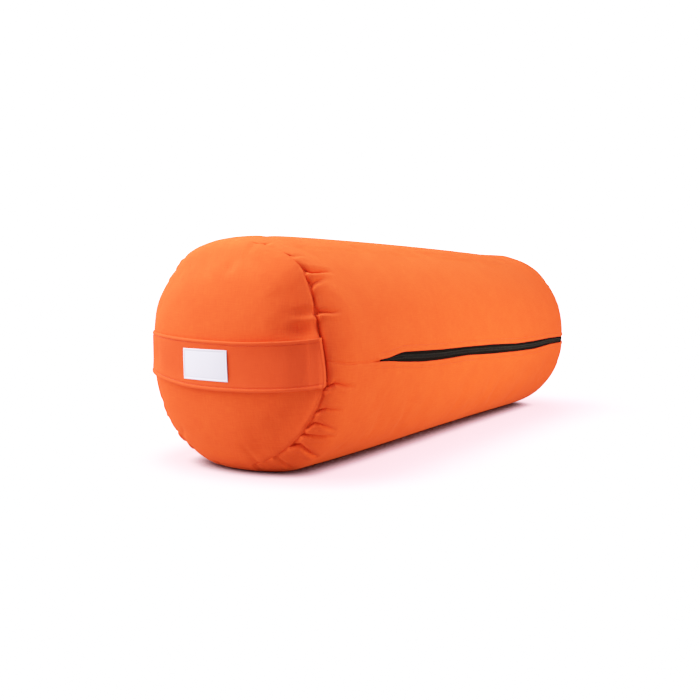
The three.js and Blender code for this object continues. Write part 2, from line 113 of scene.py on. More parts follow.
def normals_of(piece):
    """The outward direction of the cloth at each point."""
    flat = np.empty(len(piece.data.vertices) * 3)
    piece.data.vertex_normals.foreach_get("vector", flat)
    return flat.reshape(-1, 3)


def outward(piece):
    """Turns all faces of a closed piece outwards and smooths its shading."""
    select_only(piece)
    bpy.ops.object.mode_set(mode="EDIT")
    bpy.ops.mesh.select_all(action="SELECT")
    bpy.ops.mesh.normals_make_consistent(inside=False)
    bpy.ops.object.mode_set(mode="OBJECT")
    bpy.ops.object.shade_smooth()


def copy_of(piece):
    """A copy of a piece with its own mesh."""
    copy = piece.copy()
    copy.data = piece.data.copy()
    scene.collection.objects.link(copy)
    return copy


def joined(name, pieces):
    """Joins pieces to one object with this name."""
    select_only(*pieces)
    bpy.ops.object.join()
    whole = bpy.context.object
    whole.name = whole.data.name = name
    return whole


def degrees_between(angle, other):
    """How far angle is past other on a circle, from -180 to 180 degrees."""
    return (angle - other + 540) % 360 - 180


def signed_power(value, exponent):
    """A power that keeps the sign of its base."""
    return np.sign(value) * np.abs(value) ** exponent


def smooth_share(value):
    """A soft step from 0 to 1."""
    value = np.clip(value, 0, 1)
    return value * value * (3 - 2 * value)


def soft_read(places, table, spread, period=None):
    """A value read off a table of places and values, averaged over a stretch to round the corners."""
    keys, values = zip(*table)
    offsets = np.linspace(-spread, spread, 7)
    return np.mean([np.interp(places + offset, keys, values, period=period) for offset in offsets], axis=0)


# %% [markdown]
# ## The sizes of the roll
# The two end seams are found from the boxes of the end panels. The other sizes are the maker's: half the
# width and height, how far the ends are drawn in, and how high the filling domes the end panels. The roll
# is a little squarer than an ellipse, because the filling pushes into its shoulders, and it has settled
# flat underneath.

# %% Sizes from the frame and from the maker
near_panel_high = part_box("end_panel_near")[1]
far_panel_low, far_panel_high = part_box("end_panel_far")
PIECE_GAP = 0.3 * MM
NEAR_SEAM_X = near_panel_high.x + PIECE_GAP
FAR_SEAM_X = far_panel_low.x - PIECE_GAP
SEAM_TO_SEAM = FAR_SEAM_X - NEAR_SEAM_X
AXIS_Y = (far_panel_low.y + far_panel_high.y) / 2

HALF_WIDTH = 120 * MM
HALF_HEIGHT = 115 * MM
CENTRE_HEIGHT = 109 * MM
SQUARENESS = 2.2
MID_SWELL = 0.024
TURN_LENGTH = 28 * MM
TURN_IN = 13 * MM
SEAM_LIFT = 3 * MM
CROWN = far_panel_high.x - far_panel_low.x
PANEL_HALF_WIDTH = HALF_WIDTH - TURN_IN
PANEL_HALF_HEIGHT = HALF_HEIGHT - TURN_IN
PANEL_CENTRE = CENTRE_HEIGHT + SEAM_LIFT
print("seam to seam:", round(SEAM_TO_SEAM / MM, 1), "mm, crown:", round(CROWN / MM, 1), "mm")

# %% [markdown]
# ## The shape under the cloth
# A place on the side panel is given by its distance along the cloth from the near seam and by its angle
# round the axis: 0 at the back, 90 on top, 180 at the front with the zip, 270 underneath. A place on an end
# panel is given by its angle and its steepness, which is 0 at the seam and 90 in the middle. The near seam
# isn't an even ring: a short table says where it stands out or is pulled in.

# %% Where the near seam wanders and where the filling is fuller
SEAM_WANDER = [  # angle in degrees, outwards in mm
    (0, -2.4), (12, -1.0), (25, 1.4), (45, -0.5), (60, 0.8), (90, 0), (115, 2), (135, 6), (144, 2),
    (151, -0.5), (160, -3.8), (168, -4.5), (175, -2.5), (188, 2.5), (198, 0.6), (210, -2), (245, -3),
    (270, 0), (300, 0), (318, 1.2), (335, -0.8), (350, -1.6), (360, -2.4),
]
PULL_STARTS = 0.6  # share of the way from the middle of the panel to its seam

Lump = namedtuple("Lump", "from_seam angle along round out")  # mm, degrees, mm, degrees, mm
FILLING_LUMPS = [
    Lump(562, 114, 70, 36, 4.4),
    Lump(575, 200, 50, 25, 1.5),
    Lump(20, 60, 45, 16, 1.2),
    Lump(18, 318, 45, 20, 2.5),
    Lump(360, 248, 300, 30, -3.5),
]

Hollow = namedtuple("Hollow", "y z half_width half_height depth")  # all in mm
PANEL_HOLLOWS = [
    Hollow(-93, 139, 17, 11, 3.4),
    Hollow(-92, 154, 14, 7, 2.2),
    Hollow(-38, 22, 16, 10, 1.6),
]


def around(points):
    """The angle of points round the axis in degrees, and how far out they are: 1 is the ring of the seam."""
    across = (points[..., 1] - AXIS_Y) / PANEL_HALF_WIDTH
    up = (points[..., 2] - PANEL_CENTRE) / PANEL_HALF_HEIGHT
    reach = (np.abs(across) ** SQUARENESS + np.abs(up) ** SQUARENESS) ** (1 / SQUARENESS)
    angle = np.arctan2(signed_power(up, SQUARENESS / 2), signed_power(across, SQUARENESS / 2))
    return np.degrees(angle) % 360, reach


def away_from_axis(points):
    """The directions from the axis to points, one long each."""
    away = points - np.array([0, AXIS_Y, PANEL_CENTRE])
    away[..., 0] = 0
    return away / np.maximum(np.linalg.norm(away, axis=-1, keepdims=True), TINY)


def wander_at(angle):
    """How far the near seam stands out at an angle."""
    return soft_read(angle, SEAM_WANDER, 4, 360) * MM


def follow_near_seam(points):
    """Moves points with the uneven ring of the near seam, less and less away from it."""
    angle, reach = around(points)
    from_seam = points[..., 0] - NEAR_SEAM_X
    over_turn = np.clip(1 - from_seam / TURN_LENGTH, 0, 1) ** 2
    pull = np.where(from_seam > 0, over_turn, smooth_share((reach - PULL_STARTS) / (1 - PULL_STARTS)))
    pull = np.where(from_seam > SEAM_TO_SEAM / 2, 0, pull)
    return points + away_from_axis(points) * (pull * wander_at(angle))[..., None]


# %% The side of the roll
quarter = np.linspace(0, math.pi / 2, 400)
turn_x = TURN_LENGTH * (1 - np.cos(quarter))
turn_inset = TURN_IN * (1 - np.sin(quarter))
turn_cloth = np.concatenate([[0], np.cumsum(np.hypot(np.diff(turn_x), np.diff(turn_inset)))])
TURN_CLOTH = turn_cloth[-1]
SIDE_CLOTH = SEAM_TO_SEAM - 2 * TURN_LENGTH + 2 * TURN_CLOTH


def from_seam_of(cloth):
    """The distance along the axis from the near seam for a distance along the cloth."""
    from_end = np.minimum(cloth, SIDE_CLOTH - cloth)
    x = np.interp(from_end, turn_cloth, turn_x) + np.maximum(0, from_end - TURN_CLOTH)
    return np.where(cloth < SIDE_CLOTH / 2, x, SEAM_TO_SEAM - x)


def side_surface(cloth, angle, raised=0.0):
    """Points of the side panel at a distance along the cloth and an angle, raised over the filling."""
    cloth, angle = np.broadcast_arrays(np.asarray(cloth, float), np.asarray(angle, float))
    inset = np.interp(np.minimum(cloth, SIDE_CLOTH - cloth), turn_cloth, turn_inset)
    from_seam = from_seam_of(cloth)
    from_end = np.minimum(from_seam, SEAM_TO_SEAM - from_seam)
    share = from_seam / SEAM_TO_SEAM
    swell = 1 + MID_SWELL * 4 * share * (1 - share)
    full = 0.0
    for lump in FILLING_LUMPS:
        along = (from_seam - lump.from_seam * MM) / (lump.along * MM)
        away = np.hypot(along, degrees_between(angle, lump.angle) / lump.round)
        full = full + lump.out * MM * np.clip(1 - away**2, 0, 1) ** 2
    inset = inset - full * (1 - inset / TURN_IN) - raised
    lift = SEAM_LIFT * np.clip(1 - from_end / TURN_LENGTH, 0, 1) ** 2
    cosine, sine = np.cos(np.radians(angle)), np.sin(np.radians(angle))
    y = AXIS_Y + (HALF_WIDTH * swell - inset) * signed_power(cosine, 2 / SQUARENESS)
    z = CENTRE_HEIGHT + lift + (HALF_HEIGHT * swell - inset) * signed_power(sine, 2 / SQUARENESS)
    return follow_near_seam(np.stack([NEAR_SEAM_X + from_seam, y, z], -1))


# %% The domed ends
FRONT_FLATNESS = [  # angle in degrees, share of a plain parabola in the near dome's profile
    (0, 0), (140, 0), (160, 0.2), (185, 0.5), (200, 0.7), (222, 0.8), (238, 0.4), (252, 0), (360, 0),
]
FRONT_DENT = [  # angle in degrees, depth in mm of the hollow that runs beside the front seam
    (0, 0), (138, 0), (150, 1.8), (170, 2.6), (205, 2.8), (222, 1.4), (236, 0), (360, 0),
]
DENT_REACH, DENT_WIDTH, DENT_END = 0.87, 0.1, 0.05  # shares of the way from the panel's middle to its seam


def dome_surface(end, y, z, raised=0.0):
    """Points over an end panel at y and z, raised over its cloth. End is -1 near and 1 far."""
    across = np.abs(y - AXIS_Y) / PANEL_HALF_WIDTH
    up = np.abs(z - PANEL_CENTRE) / PANEL_HALF_HEIGHT
    reach = np.maximum((across**SQUARENESS + up**SQUARENESS) ** (1 / SQUARENESS), TINY)
    height = np.sqrt(np.clip(1 - reach**2, 0, 1))
    slope = reach ** (2 - SQUARENESS)
    angle = np.degrees(np.arctan2(z - PANEL_CENTRE, y - AXIS_Y)) % 360
    flatness = soft_read(angle, FRONT_FLATNESS, 8.0, 360) if end < 0 else 0.0
    normal = np.stack([
        end * height / CROWN,
        np.sign(y - AXIS_Y) * slope * across ** (SQUARENESS - 1) / PANEL_HALF_WIDTH,
        np.sign(z - PANEL_CENTRE) * slope * up ** (SQUARENESS - 1) / PANEL_HALF_HEIGHT,
    ], -1)
    normal = normal / np.linalg.norm(normal, axis=-1, keepdims=True)
    seam_x = NEAR_SEAM_X if end < 0 else FAR_SEAM_X
    dent = soft_read(angle, FRONT_DENT, 6.0, 360) * MM * np.exp(-(((reach - DENT_REACH) / DENT_WIDTH) ** 2))
    x = seam_x + end * (PIECE_GAP + CROWN * (height + flatness * (height**2 - height)))
    x = x + dent * np.clip((1 - reach) / DENT_END, 0, 1) if end < 0 else x
    points = np.stack([x, y + 0 * x, z + 0 * x], -1) + normal * np.asarray(raised)[..., None]
    return follow_near_seam(points) if end < 0 else points


def panel_surface(end, steepness, angle, raised=0.0):
    """Points of an end panel at a steepness and an angle, with the hollows of the near one."""
    share = np.cos(np.radians(steepness))
    y = AXIS_Y + PANEL_HALF_WIDTH * share * signed_power(np.cos(np.radians(angle)), 2 / SQUARENESS)
    z = PANEL_CENTRE + PANEL_HALF_HEIGHT * share * signed_power(np.sin(np.radians(angle)), 2 / SQUARENESS)
    hollow = 0.0 * y
    for pressed in PANEL_HOLLOWS if end < 0 else []:
        away = np.hypot((y - AXIS_Y - pressed.y * MM) / (pressed.half_width * MM),
                        (z - pressed.z * MM) / (pressed.half_height * MM))
        hollow = hollow + pressed.depth * MM * np.clip(1 - away**2, 0, 1) ** 2
    return dome_surface(end, y, z, raised - hollow)


print("cloth from seam to seam:", round(SIDE_CLOTH / MM, 1), "mm")

# %% [markdown]
# ## Cloth as a grid
# Every piece of cloth here starts as what it was on the cutting table: a flat rectangle. Blender adds it as
# a grid, and each of its points is then laid on the form by its row and its column. Two edges that land on
# each other are merged, which closes a tube as the maker's seam does. The UV map keeps the flat cloth's own
# measure in metres, so that the weave later follows the threads.

# %% Grid helpers


def cloth_grid(name, rows, columns):
    """Adds a flat grid of cloth and gives it with the row and the column of each of its points."""
    bpy.ops.object.select_all(action="DESELECT")
    bpy.ops.mesh.primitive_grid_add(x_subdivisions=columns - 1, y_subdivisions=rows - 1, size=2,
                                    location=(0, 0, 0))
    piece = bpy.context.object
    piece.name = piece.data.name = name
    flat = points_of(piece)
    row = np.rint((flat[:, 1] + 1) / 2 * (rows - 1)).astype(int)
    column = np.rint((flat[:, 0] + 1) / 2 * (columns - 1)).astype(int)
    return piece, row, column


def lay_threads(piece, warp, weft):
    """Sets the UV map to the place of each point on the flat cloth, in metres."""
    corners = np.empty(len(piece.data.loops), int)
    piece.data.loops.foreach_get("vertex_index", corners)
    layer = piece.data.uv_layers.active or piece.data.uv_layers.new(name="threads")
    layer.name = "threads"
    layer.data.foreach_set("uv", np.stack([warp[corners], weft[corners]], -1).astype(np.float32).ravel())


def close_seams(piece):
    """Merges the points that meet, fills what is still open and turns the faces outwards."""
    select_only(piece)
    bpy.ops.object.mode_set(mode="EDIT")
    bpy.ops.mesh.select_all(action="SELECT")
    bpy.ops.mesh.remove_doubles(threshold=0.000002)
    bpy.ops.mesh.select_all(action="SELECT")
    bpy.ops.mesh.fill_holes(sides=0)
    bpy.ops.object.mode_set(mode="OBJECT")
    outward(piece)
    print(piece.name, len(piece.data.polygons), "faces")


# %% [markdown]
# ## Where the seam pulls the cloth in
# The two layers of a seam are caught by the thread, so the cloth dips into it from both sides. How deep
# depends on the place: the seam of the near end is pulled in most where the strap's front end is sewn in.
# Elsewhere the filling presses from inside until the two layers lie almost flush, as along the top of the
# near end.

# %% The groove of the end seams
SEAM_DIP = [  # angle in degrees, depth in mm
    (0, 1.6), (50, 1.2), (66, 0), (130, 0), (135, 1.4), (141, 3.2), (157, 5.0), (165, 6.6), (189, 6.6),
    (195, 2.0), (205, 2.2), (228, 2.0), (240, 0.6), (252, 0), (290, 0), (310, 1.6), (360, 1.6),
]
SEAM_DIP_WIDTH = 1.3 * MM
SEAM_FULLNESS = [  # angle in degrees, how far the filling presses the seam out in mm
    (0, 0), (25, 0), (45, 1.8), (60, 5.0), (70, 5.7), (128, 5.7), (134, 3.0), (138, 1.0), (142, 0.4),
    (190, 0.3), (197, 0.8), (230, 1.2), (240, 2.8), (252, 5.4), (290, 5.4), (305, 1.8), (330, 0.2), (360, 0),
]
SEAM_FULL_WIDTH = 8 * MM
SEAM_BEAD = [  # angle in degrees, height in mm of the rolled edge of the end panel beside the seam
    (0, 0), (132, 0), (142, 0.9), (156, 1.5), (192, 1.5), (206, 1.1), (220, 0.3), (228, 0), (360, 0),
]
SEAM_BEAD_PLACE = 3.6 * MM
SEAM_BEAD_WIDTH = 1.5 * MM


def dip_into_seams(points):
    """Pulls points that lie close to an end seam into it, less and less away from it."""
    angle, reach = around(points)
    depth = soft_read(angle, SEAM_DIP, 3, 360) * MM
    fullness = soft_read(angle, SEAM_FULLNESS, 4, 360) * MM
    bead = soft_read(angle, SEAM_BEAD, 3, 360) * MM
    away = away_from_axis(points)
    for end, seam_x in ((-1, NEAR_SEAM_X), (1, FAR_SEAM_X)):
        outside = (reach - 1) * PANEL_HALF_HEIGHT - (wander_at(angle) if end < 0 else 0)
        distance = np.hypot(points[..., 0] - seam_x, outside)
        pull = depth * np.exp(-distance / SEAM_DIP_WIDTH) - fullness * np.exp(-distance / SEAM_FULL_WIDTH)
        rolled = np.exp(-(((distance - SEAM_BEAD_PLACE) / SEAM_BEAD_WIDTH) ** 2))
        on_panel = (points[..., 0] - seam_x) * end > -PIECE_GAP
        pull = (pull - np.where(on_panel, bead * rolled, 0)) / math.sqrt(2)
        points = points - away * pull[..., None]
        points[..., 0] = points[..., 0] - end * pull
    return points


# %% [markdown]
# ## Folds
# Where a flat piece of cloth is eased onto a round end, the spare cloth stands in small pleats that run out
# of the seam. Each one is a short path, given as a list of places: a sharp trough with a soft ridge on one
# side of it.
# The cloth on the other side hangs a little over the trough, which is what makes a pleat look dark. A pleat
# is deepest near the seam and fades along its path.

# %% Folds along a path
Fold = namedtuple("Fold", "path depth half_width ridge head")
# path: places in mm; depth and half_width of the trough in mm; ridge: height in mm of the ridge on its left,
# or below 0 on its right; head: the share of the depth that the fold has at the start of its path
OVERHANG = 0.5       # how far the cloth hangs over a trough, as a share of its depth
HEAD_LENGTH = 0.3    # share of its path over which a fold comes to its full depth
FOLD_REACH = 3       # how far a fold acts to both sides, in half widths of its trough
CREST_PLACE, CREST_WIDTH = 1.15, 0.8  # of the ridge, in half widths
HANG_PLACE, HANG_WIDTH = -0.45, 0.4   # of the hanging cloth, in half widths


def fold_height(first, second, folds):
    """The height of folds and how far they slide the cloth across them, in mm, at places given in mm."""
    height = np.zeros(first.shape)
    slide = np.zeros(first.shape)
    for fold in folds:
        path = np.array(fold.path, float)
        reach = FOLD_REACH * fold.half_width
        low, high = path.min(axis=0) - reach, path.max(axis=0) + reach
        near = (first > low[0]) & (first < high[0]) & (second > low[1]) & (second < high[1])
        if not near.any():
            continue
        spots = np.stack([first[near], second[near]], -1)
        steps = np.diff(path, axis=0)
        lengths = np.linalg.norm(steps, axis=1)
        best = np.full(len(spots), np.inf)
        side = np.zeros(len(spots))
        share = np.zeros(len(spots))
        for start, step, length, before in zip(path, steps, lengths, np.cumsum(lengths) - lengths):
            along = np.clip((spots - start) @ step / length**2, 0, 1)
            offset = spots - start - along[:, None] * step
            distance = np.linalg.norm(offset, axis=1)
            closer = distance < best
            turned = np.sign(step[0] * offset[:, 1] - step[1] * offset[:, 0])
            best = np.where(closer, distance, best)
            side = np.where(closer, turned, side)
            share = np.where(closer, (before + along * length) / lengths.sum(), share)
        come_up = np.sin(np.pi / 2 * np.clip(share / HEAD_LENGTH, 0, 1))
        strength = (fold.head + (1 - fold.head) * come_up) * (1 - share**2)
        across = best / fold.half_width
        trough = fold.depth * np.clip(1 - across**1.4, 0, 1) ** 1.5
        signed = side * across * np.sign(fold.ridge)
        crest = abs(fold.ridge) * np.exp(-(((signed - CREST_PLACE) / CREST_WIDTH) ** 2))
        height[near] += strength * (crest - trough)
        hanging = np.exp(-(((signed - HANG_PLACE) / HANG_WIDTH) ** 2)) * np.sign(fold.ridge)
        slide[near] += strength * OVERHANG * fold.depth * hanging
    return height, slide


# %% [markdown]
# ## The zip opening
# The two long edges of the side panel are folded back beside the zip. Each lip is a soft rolled edge, and
# under it runs a pocket that takes the outer half of the zip's tape. Towards the near end the lips come
# together, and from there on they are a plain closed seam. A short table gives the height of both lips
# along the roll.

# %% The lips beside the zip
UPPER_LIP = [  # mm from the near seam, height in mm
    (0, 108.6), (66, 107.9), (82, 108.6), (95, 110.6), (108, 112.7), (147, 111.6), (190, 110.3), (253, 109.7),
    (326, 108.3), (400, 105.4), (465, 105.6), (525, 106.6), (598, 106),
]
LOWER_LIP = [
    (0, 107.4), (66, 106.1), (82, 105.6), (95, 104.4), (108, 103.1), (147, 100.3), (190, 99.4), (253, 100),
    (326, 97.1), (400, 95.3), (465, 94.4), (525, 97), (598, 98),
]
ZIP_START = 56
ZIP_FULL_DEPTH_AT = 66
ZIP_CLOSES = SEAM_TO_SEAM / MM - 12
ZIP_END = SEAM_TO_SEAM / MM - 8
# each row: mm away from the edge of the lip and mm over the filling, beside the zip and in the closed seam
LIP_PROFILE = np.array([
    (8.0, 0, 8.0, 0), (7.0, 0, 7.0, 0), (6.3, -0.1, 6.2, 0), (5.8, -0.28, 5.4, 0), (5.3, -0.08, 4.6, 0),
    (4.6, 0.2, 3.9, 0), (3.7, 0.5, 3.2, -0.02), (2.7, 0.72, 2.5, -0.05), (1.8, 0.8, 1.9, -0.1),
    (1.0, 0.72, 1.3, -0.18), (0.45, 0.48, 0.8, -0.3), (0.12, 0.1, 0.4, -0.48), (0.0, -0.4, 0.1, -0.75),
    (0.12, -0.9, -0.05, -0.95), (0.5, -1.3, -0.1, -1.0), (1.2, -1.5, -0.15, -1.02), (4.6, -1.55, -0.2, -1.04),
    (5.2, -2.0, -0.25, -1.06), (4.6, -2.6, -0.3, -1.08), (1.0, -2.65, -0.35, -1.1),
])
UNDER_ZIP, IN_SEAM = -2.65, -1.1  # mm over the filling, in the middle under the zip and in the closed seam


def front_angle(height):
    """The angle at which the front of the roll has a height, given in mm."""
    sine = signed_power((CENTRE_HEIGHT / MM - height) / (HALF_HEIGHT / MM), SQUARENESS / 2)
    return 180 + np.degrees(np.arcsin(sine))


def lips_at(from_seam):
    """The heights of the upper and the lower lip in mm at distances in mm from the near seam."""
    return soft_read(from_seam, UPPER_LIP, 6), soft_read(from_seam, LOWER_LIP, 6)


def zip_openness(from_seam):
    """0 where the lips are sewn together, 1 where they stand apart for the zip."""
    opening = (from_seam - ZIP_START) / (ZIP_FULL_DEPTH_AT - ZIP_START)
    closing = (ZIP_END - from_seam) / (ZIP_END - ZIP_CLOSES)
    return smooth_share(np.minimum(opening, closing))


# %% [markdown]
# ## The side panel
# One rectangle of cotton is rolled to a tube round the filling and eased onto both end panels. The grid's
# rows run round the roll and lie closer together near the seams, where the pleats are. Its columns are
# closest on the side with the zip. The first and the last rows go on as a dome under the end panels, so the
# filled panel is closed.

# %% Rows and columns of the side panel
Steps = namedtuple("Steps", "finest reach growth")  # mm, how far they stay so fine in mm, then mm for each mm
STEPS_BY_THE_NEAR_SEAM = Steps(0.55, 24, 0.03)
STEPS_BY_THE_FAR_SEAM = Steps(1.3, 26, 0.04)
STEPS_BY_THE_ZIP_TIP = Steps(0.9, 0, 0.035)
ZIP_TIP = ZIP_FULL_DEPTH_AT + 4
STEPS_IN_THE_MIDDLE = 5.5
FIRST_COLUMN, LAST_COLUMN = 191, 534  # degrees, below the zip and, once round the roll, above it
FINE_COLUMNS = Steps(0.42, 66, 0.05)  # the same in degrees
WIDEST_COLUMN = 1.5
COLUMNS_BELOW_LIP, COLUMNS_ABOVE_LIP = 14, 6  # between each lip and the free columns
SEAM_ALLOWANCE = 2.3 * MM       # how deep the edge of the cloth is sewn in
UNDER_PANEL = 2.3 * MM          # the filling under an end panel, below the panel's outer face


def step_at(steps, distance):
    """The size of a step at a distance from where the steps are finest."""
    return steps.finest + max(0.0, distance - steps.reach) * steps.growth


def graded_rows():
    """Distances along the cloth: fine at both ends and coarser in the middle."""
    end = SIDE_CLOTH / MM
    place, rows = 0.0, []
    while place < end:
        rows.append(place)
        near = step_at(STEPS_BY_THE_NEAR_SEAM, place)
        far = step_at(STEPS_BY_THE_FAR_SEAM, end - place)
        zip_tip = step_at(STEPS_BY_THE_ZIP_TIP, abs(place - ZIP_TIP))
        place += min(near, far, zip_tip, STEPS_IN_THE_MIDDLE)
    return np.array(rows[:-1] + [end]) * MM


def graded_columns():
    """Angles round the roll between the two lips, close together on the side with the zip."""
    angle, columns = FIRST_COLUMN, []
    while angle < LAST_COLUMN:
        columns.append(angle)
        from_zip = min(angle - FIRST_COLUMN, LAST_COLUMN - angle)
        angle += min(WIDEST_COLUMN, step_at(FINE_COLUMNS, from_zip))
    return np.array(columns + [LAST_COLUMN])


cloth_rows = graded_rows()
free_columns = graded_columns()
print(len(cloth_rows), "rows of the side panel from seam to seam")


def side_row(cloth, sunk):
    """The points of one row of the side panel, from the zip round the roll and back to the zip."""
    from_seam = from_seam_of(cloth) / MM
    openness = zip_openness(from_seam)
    upper, lower = lips_at(from_seam)
    middle = front_angle((upper + lower) / 2)
    out, lip_raised = (openness * LIP_PROFILE[:, :2] + (1 - openness) * LIP_PROFILE[:, 2:]).T
    lower_lip = front_angle(lower - out[::-1])
    upper_lip = front_angle(upper + out) + 360
    below = np.linspace(lower_lip[-1], free_columns[0], COLUMNS_BELOW_LIP + 2)[1:-1]
    above = np.linspace(free_columns[-1], upper_lip[0], COLUMNS_ABOVE_LIP + 2)[1:-1]
    angles = np.concatenate([[middle], lower_lip, below, free_columns, above, upper_lip, [middle + 360]])
    edge_raised = [openness * UNDER_ZIP + (1 - openness) * IN_SEAM]
    flat = np.zeros(len(below) + len(free_columns) + len(above))
    raised = np.concatenate([edge_raised, lip_raised[::-1], flat, lip_raised, edge_raised])
    return side_surface(cloth, angles, raised * MM - sunk), angles


# %% [markdown]
# ## The pleats
# The pleats that the photograph shows were read off it one by one. On the sides that it hides there are
# pleats of the same kind, spaced unevenly as hand sewing leaves them. Their places are the distance along
# the cloth from the seam and the way round the roll, both in millimetres, so that an angle is given in
# degrees and turned into millimetres by one factor.

# %% Pleats of both ends
ROUND_MM = 2.03  # millimetres round the roll for each degree, close to the end seams


def pleat(path, depth, half_width, ridge, head=0.6):
    """A fold of the side panel from places in mm along the cloth and degrees round the roll."""
    return Fold([(along, degrees * ROUND_MM) for along, degrees in path], depth, half_width, ridge, head)


NEAR_PLEATS = [
    pleat([(-3, 108), (3.2, 110.5), (10, 111)], 1.5, 4.0, 0.5),
    pleat([(-4, 122), (3.2, 127.5), (20, 126.5)], 1.5, 4.2, 0.6),
    pleat([(-1, 135), (9.2, 137), (28, 136), (42, 137.5)], 6.0, 5.8, 1.0, 0.9),
    pleat([(-1, 144), (9, 142.6), (24, 141)], 3.8, 6.0, 0.7, 0.8),
    pleat([(-3, 155.8), (3, 157.8), (12.8, 158.8), (24, 159)], 4.0, 4.2, 1.2, 0.8),
    pleat([(-1, 191.2), (8.8, 188.2), (24, 188.8), (36, 189.4)], 5.8, 3.8, 1.6, 1.0),
    pleat([(-1, 204.4), (6, 201.2), (15.6, 200.5), (26, 200)], 3.8, 3.4, 1.1, 0.9),
    pleat([(-1, 215), (2.4, 210.8), (7.6, 209.8), (16, 210.2), (27, 211)], 4.6, 3.8, 1.2, 0.9),
    pleat([(-1, 220.5), (5.2, 218.2), (20, 214.8), (30, 214)], 4.2, 3.8, 1.2, 0.9),
    pleat([(-1, 230), (5.6, 226), (22.8, 228.8), (32, 230.5)], 5.6, 4.6, 1.8, 1.0),
    pleat([(-2, 243), (8, 242.5), (22, 243.5)], 2.4, 5, 0.9, 0.8),
    pleat([(-3, 257), (16, 257.5)], 1.6, 5, 0.5),
    pleat([(-3, 279.5), (16, 278)], 1.6, 5, 0.5),
    pleat([(-3, 298), (12, 298.5), (26, 300)], 3.2, 4.6, 1.0),
    pleat([(-3, 306.5), (12, 306), (22, 306)], 3.8, 4.4, 1.2),
    pleat([(-3, 314.5), (12, 313.5), (24, 312)], 3.2, 4.6, -1.0),
    pleat([(-3, 322), (10, 322.5), (22, 323)], 3.8, 4.4, 1.2),
    pleat([(-3, 337), (12, 339), (30, 341)], 3.4, 5, 1.1),
    pleat([(-3, 364), (12, 363.5), (22, 362)], 1.9, 5, 0.6),
    pleat([(-3, 23), (12, 24), (28, 25)], 2.8, 4.8, -0.8),
    pleat([(-3, 38.5), (12, 37.5), (30, 35)], 1.5, 4.6, 0.5, 0.8),
    pleat([(-3, 47), (12, 47.2), (25, 47)], 1.2, 4.5, 0.4),
    pleat([(-3, 57), (12, 58), (26, 59)], 3.2, 4.4, -0.8),
    pleat([(-3, 76), (8, 76), (14, 75.5)], 1.1, 5, 0.4),
    pleat([(-3, 91), (8, 92), (18, 92)], 1.2, 5, 0.4),
]
FAR_PLEATS = [
    pleat([(-3, 12), (12, 13), (28, 15)], 3.4, 5, 1.0),
    pleat([(-3, 31), (12, 30.5), (24, 29)], 3.6, 4.6, -1.0),
    pleat([(-3, 44), (12, 44.5), (30, 45)], 3.0, 5, 0.8),
    pleat([(-3, 66), (12, 67), (24, 69)], 2.6, 5, 0.8),
    pleat([(-3, 92), (12, 91), (22, 90)], 2.2, 5.4, -0.7),
    pleat([(-3, 114), (12, 113), (24, 111)], 2.4, 5, 0.7),
    pleat([(-3, 139), (12, 140), (22, 141)], 2.6, 5.4, 0.8),
    pleat([(-3, 164), (12, 164), (20, 165)], 2.0, 5.4, -0.6),
    pleat([(-3, 199), (12, 198), (22, 197)], 3.0, 5, 0.9),
    pleat([(-3, 219), (12, 220), (26, 222)], 3.4, 5, 1.0),
    pleat([(-3, 236), (12, 235), (24, 234)], 3.6, 4.6, -1.0),
    pleat([(-3, 262), (18, 262)], 1.8, 5, 0.5),
    pleat([(-3, 288), (20, 290)], 2.0, 5, 0.6),
    pleat([(-3, 305), (12, 304), (26, 302)], 2.6, 4.6, 0.8),
    pleat([(-3, 318), (12, 319), (28, 320)], 2.8, 4.6, -0.9),
    pleat([(-3, 333), (24, 333)], 2.2, 5, 0.7),
    pleat([(-3, 352), (12, 351), (30, 349)], 2.2, 5, 0.7),
]

# %% Make the side panel
DOME_STEEPNESS = [90, 66, 44, 26, 12, 4]
DOME_CLOTH = 0.1  # metres along the cloth that the dome's rings stand for, as they don't show


def dome_rings(end, steepnesses, angles, cloth):
    """The rings that close the filled panel under an end panel, each with its place along the cloth."""
    return [(panel_surface(end, steepness, angles, -UNDER_PANEL),
             cloth + end * (SEAM_ALLOWANCE + steepness / 90 * DOME_CLOTH),
             angles) for steepness in steepnesses]


side_rings = []
for cloth, sunk in [(0.0, SEAM_ALLOWANCE), (0.0, SEAM_ALLOWANCE / 2)] + [(row, 0.0) for row in cloth_rows] + [
        (SIDE_CLOTH, SEAM_ALLOWANCE / 2), (SIDE_CLOTH, SEAM_ALLOWANCE)]:
    ring, ring_angles = side_row(cloth, sunk)
    side_rings.append((ring, cloth + (sunk if cloth > 0 else -sunk), ring_angles))
side_rings = (dome_rings(-1, DOME_STEEPNESS, side_rings[0][2], 0) + side_rings
              + dome_rings(1, DOME_STEEPNESS[::-1], side_rings[-1][2], SIDE_CLOTH))
ring_points, ring_along, ring_angles = (np.array(part) for part in zip(*side_rings))

side_panel, side_row_of, side_column_of = cloth_grid("side_panel", *ring_angles.shape)
side_points = ring_points[side_row_of, side_column_of]
along_cloth = ring_along[side_row_of]
round_angle = ring_angles[side_row_of, side_column_of]
lay_points(side_panel, side_points)
lay_threads(side_panel, along_cloth, np.radians(round_angle) * HALF_HEIGHT)

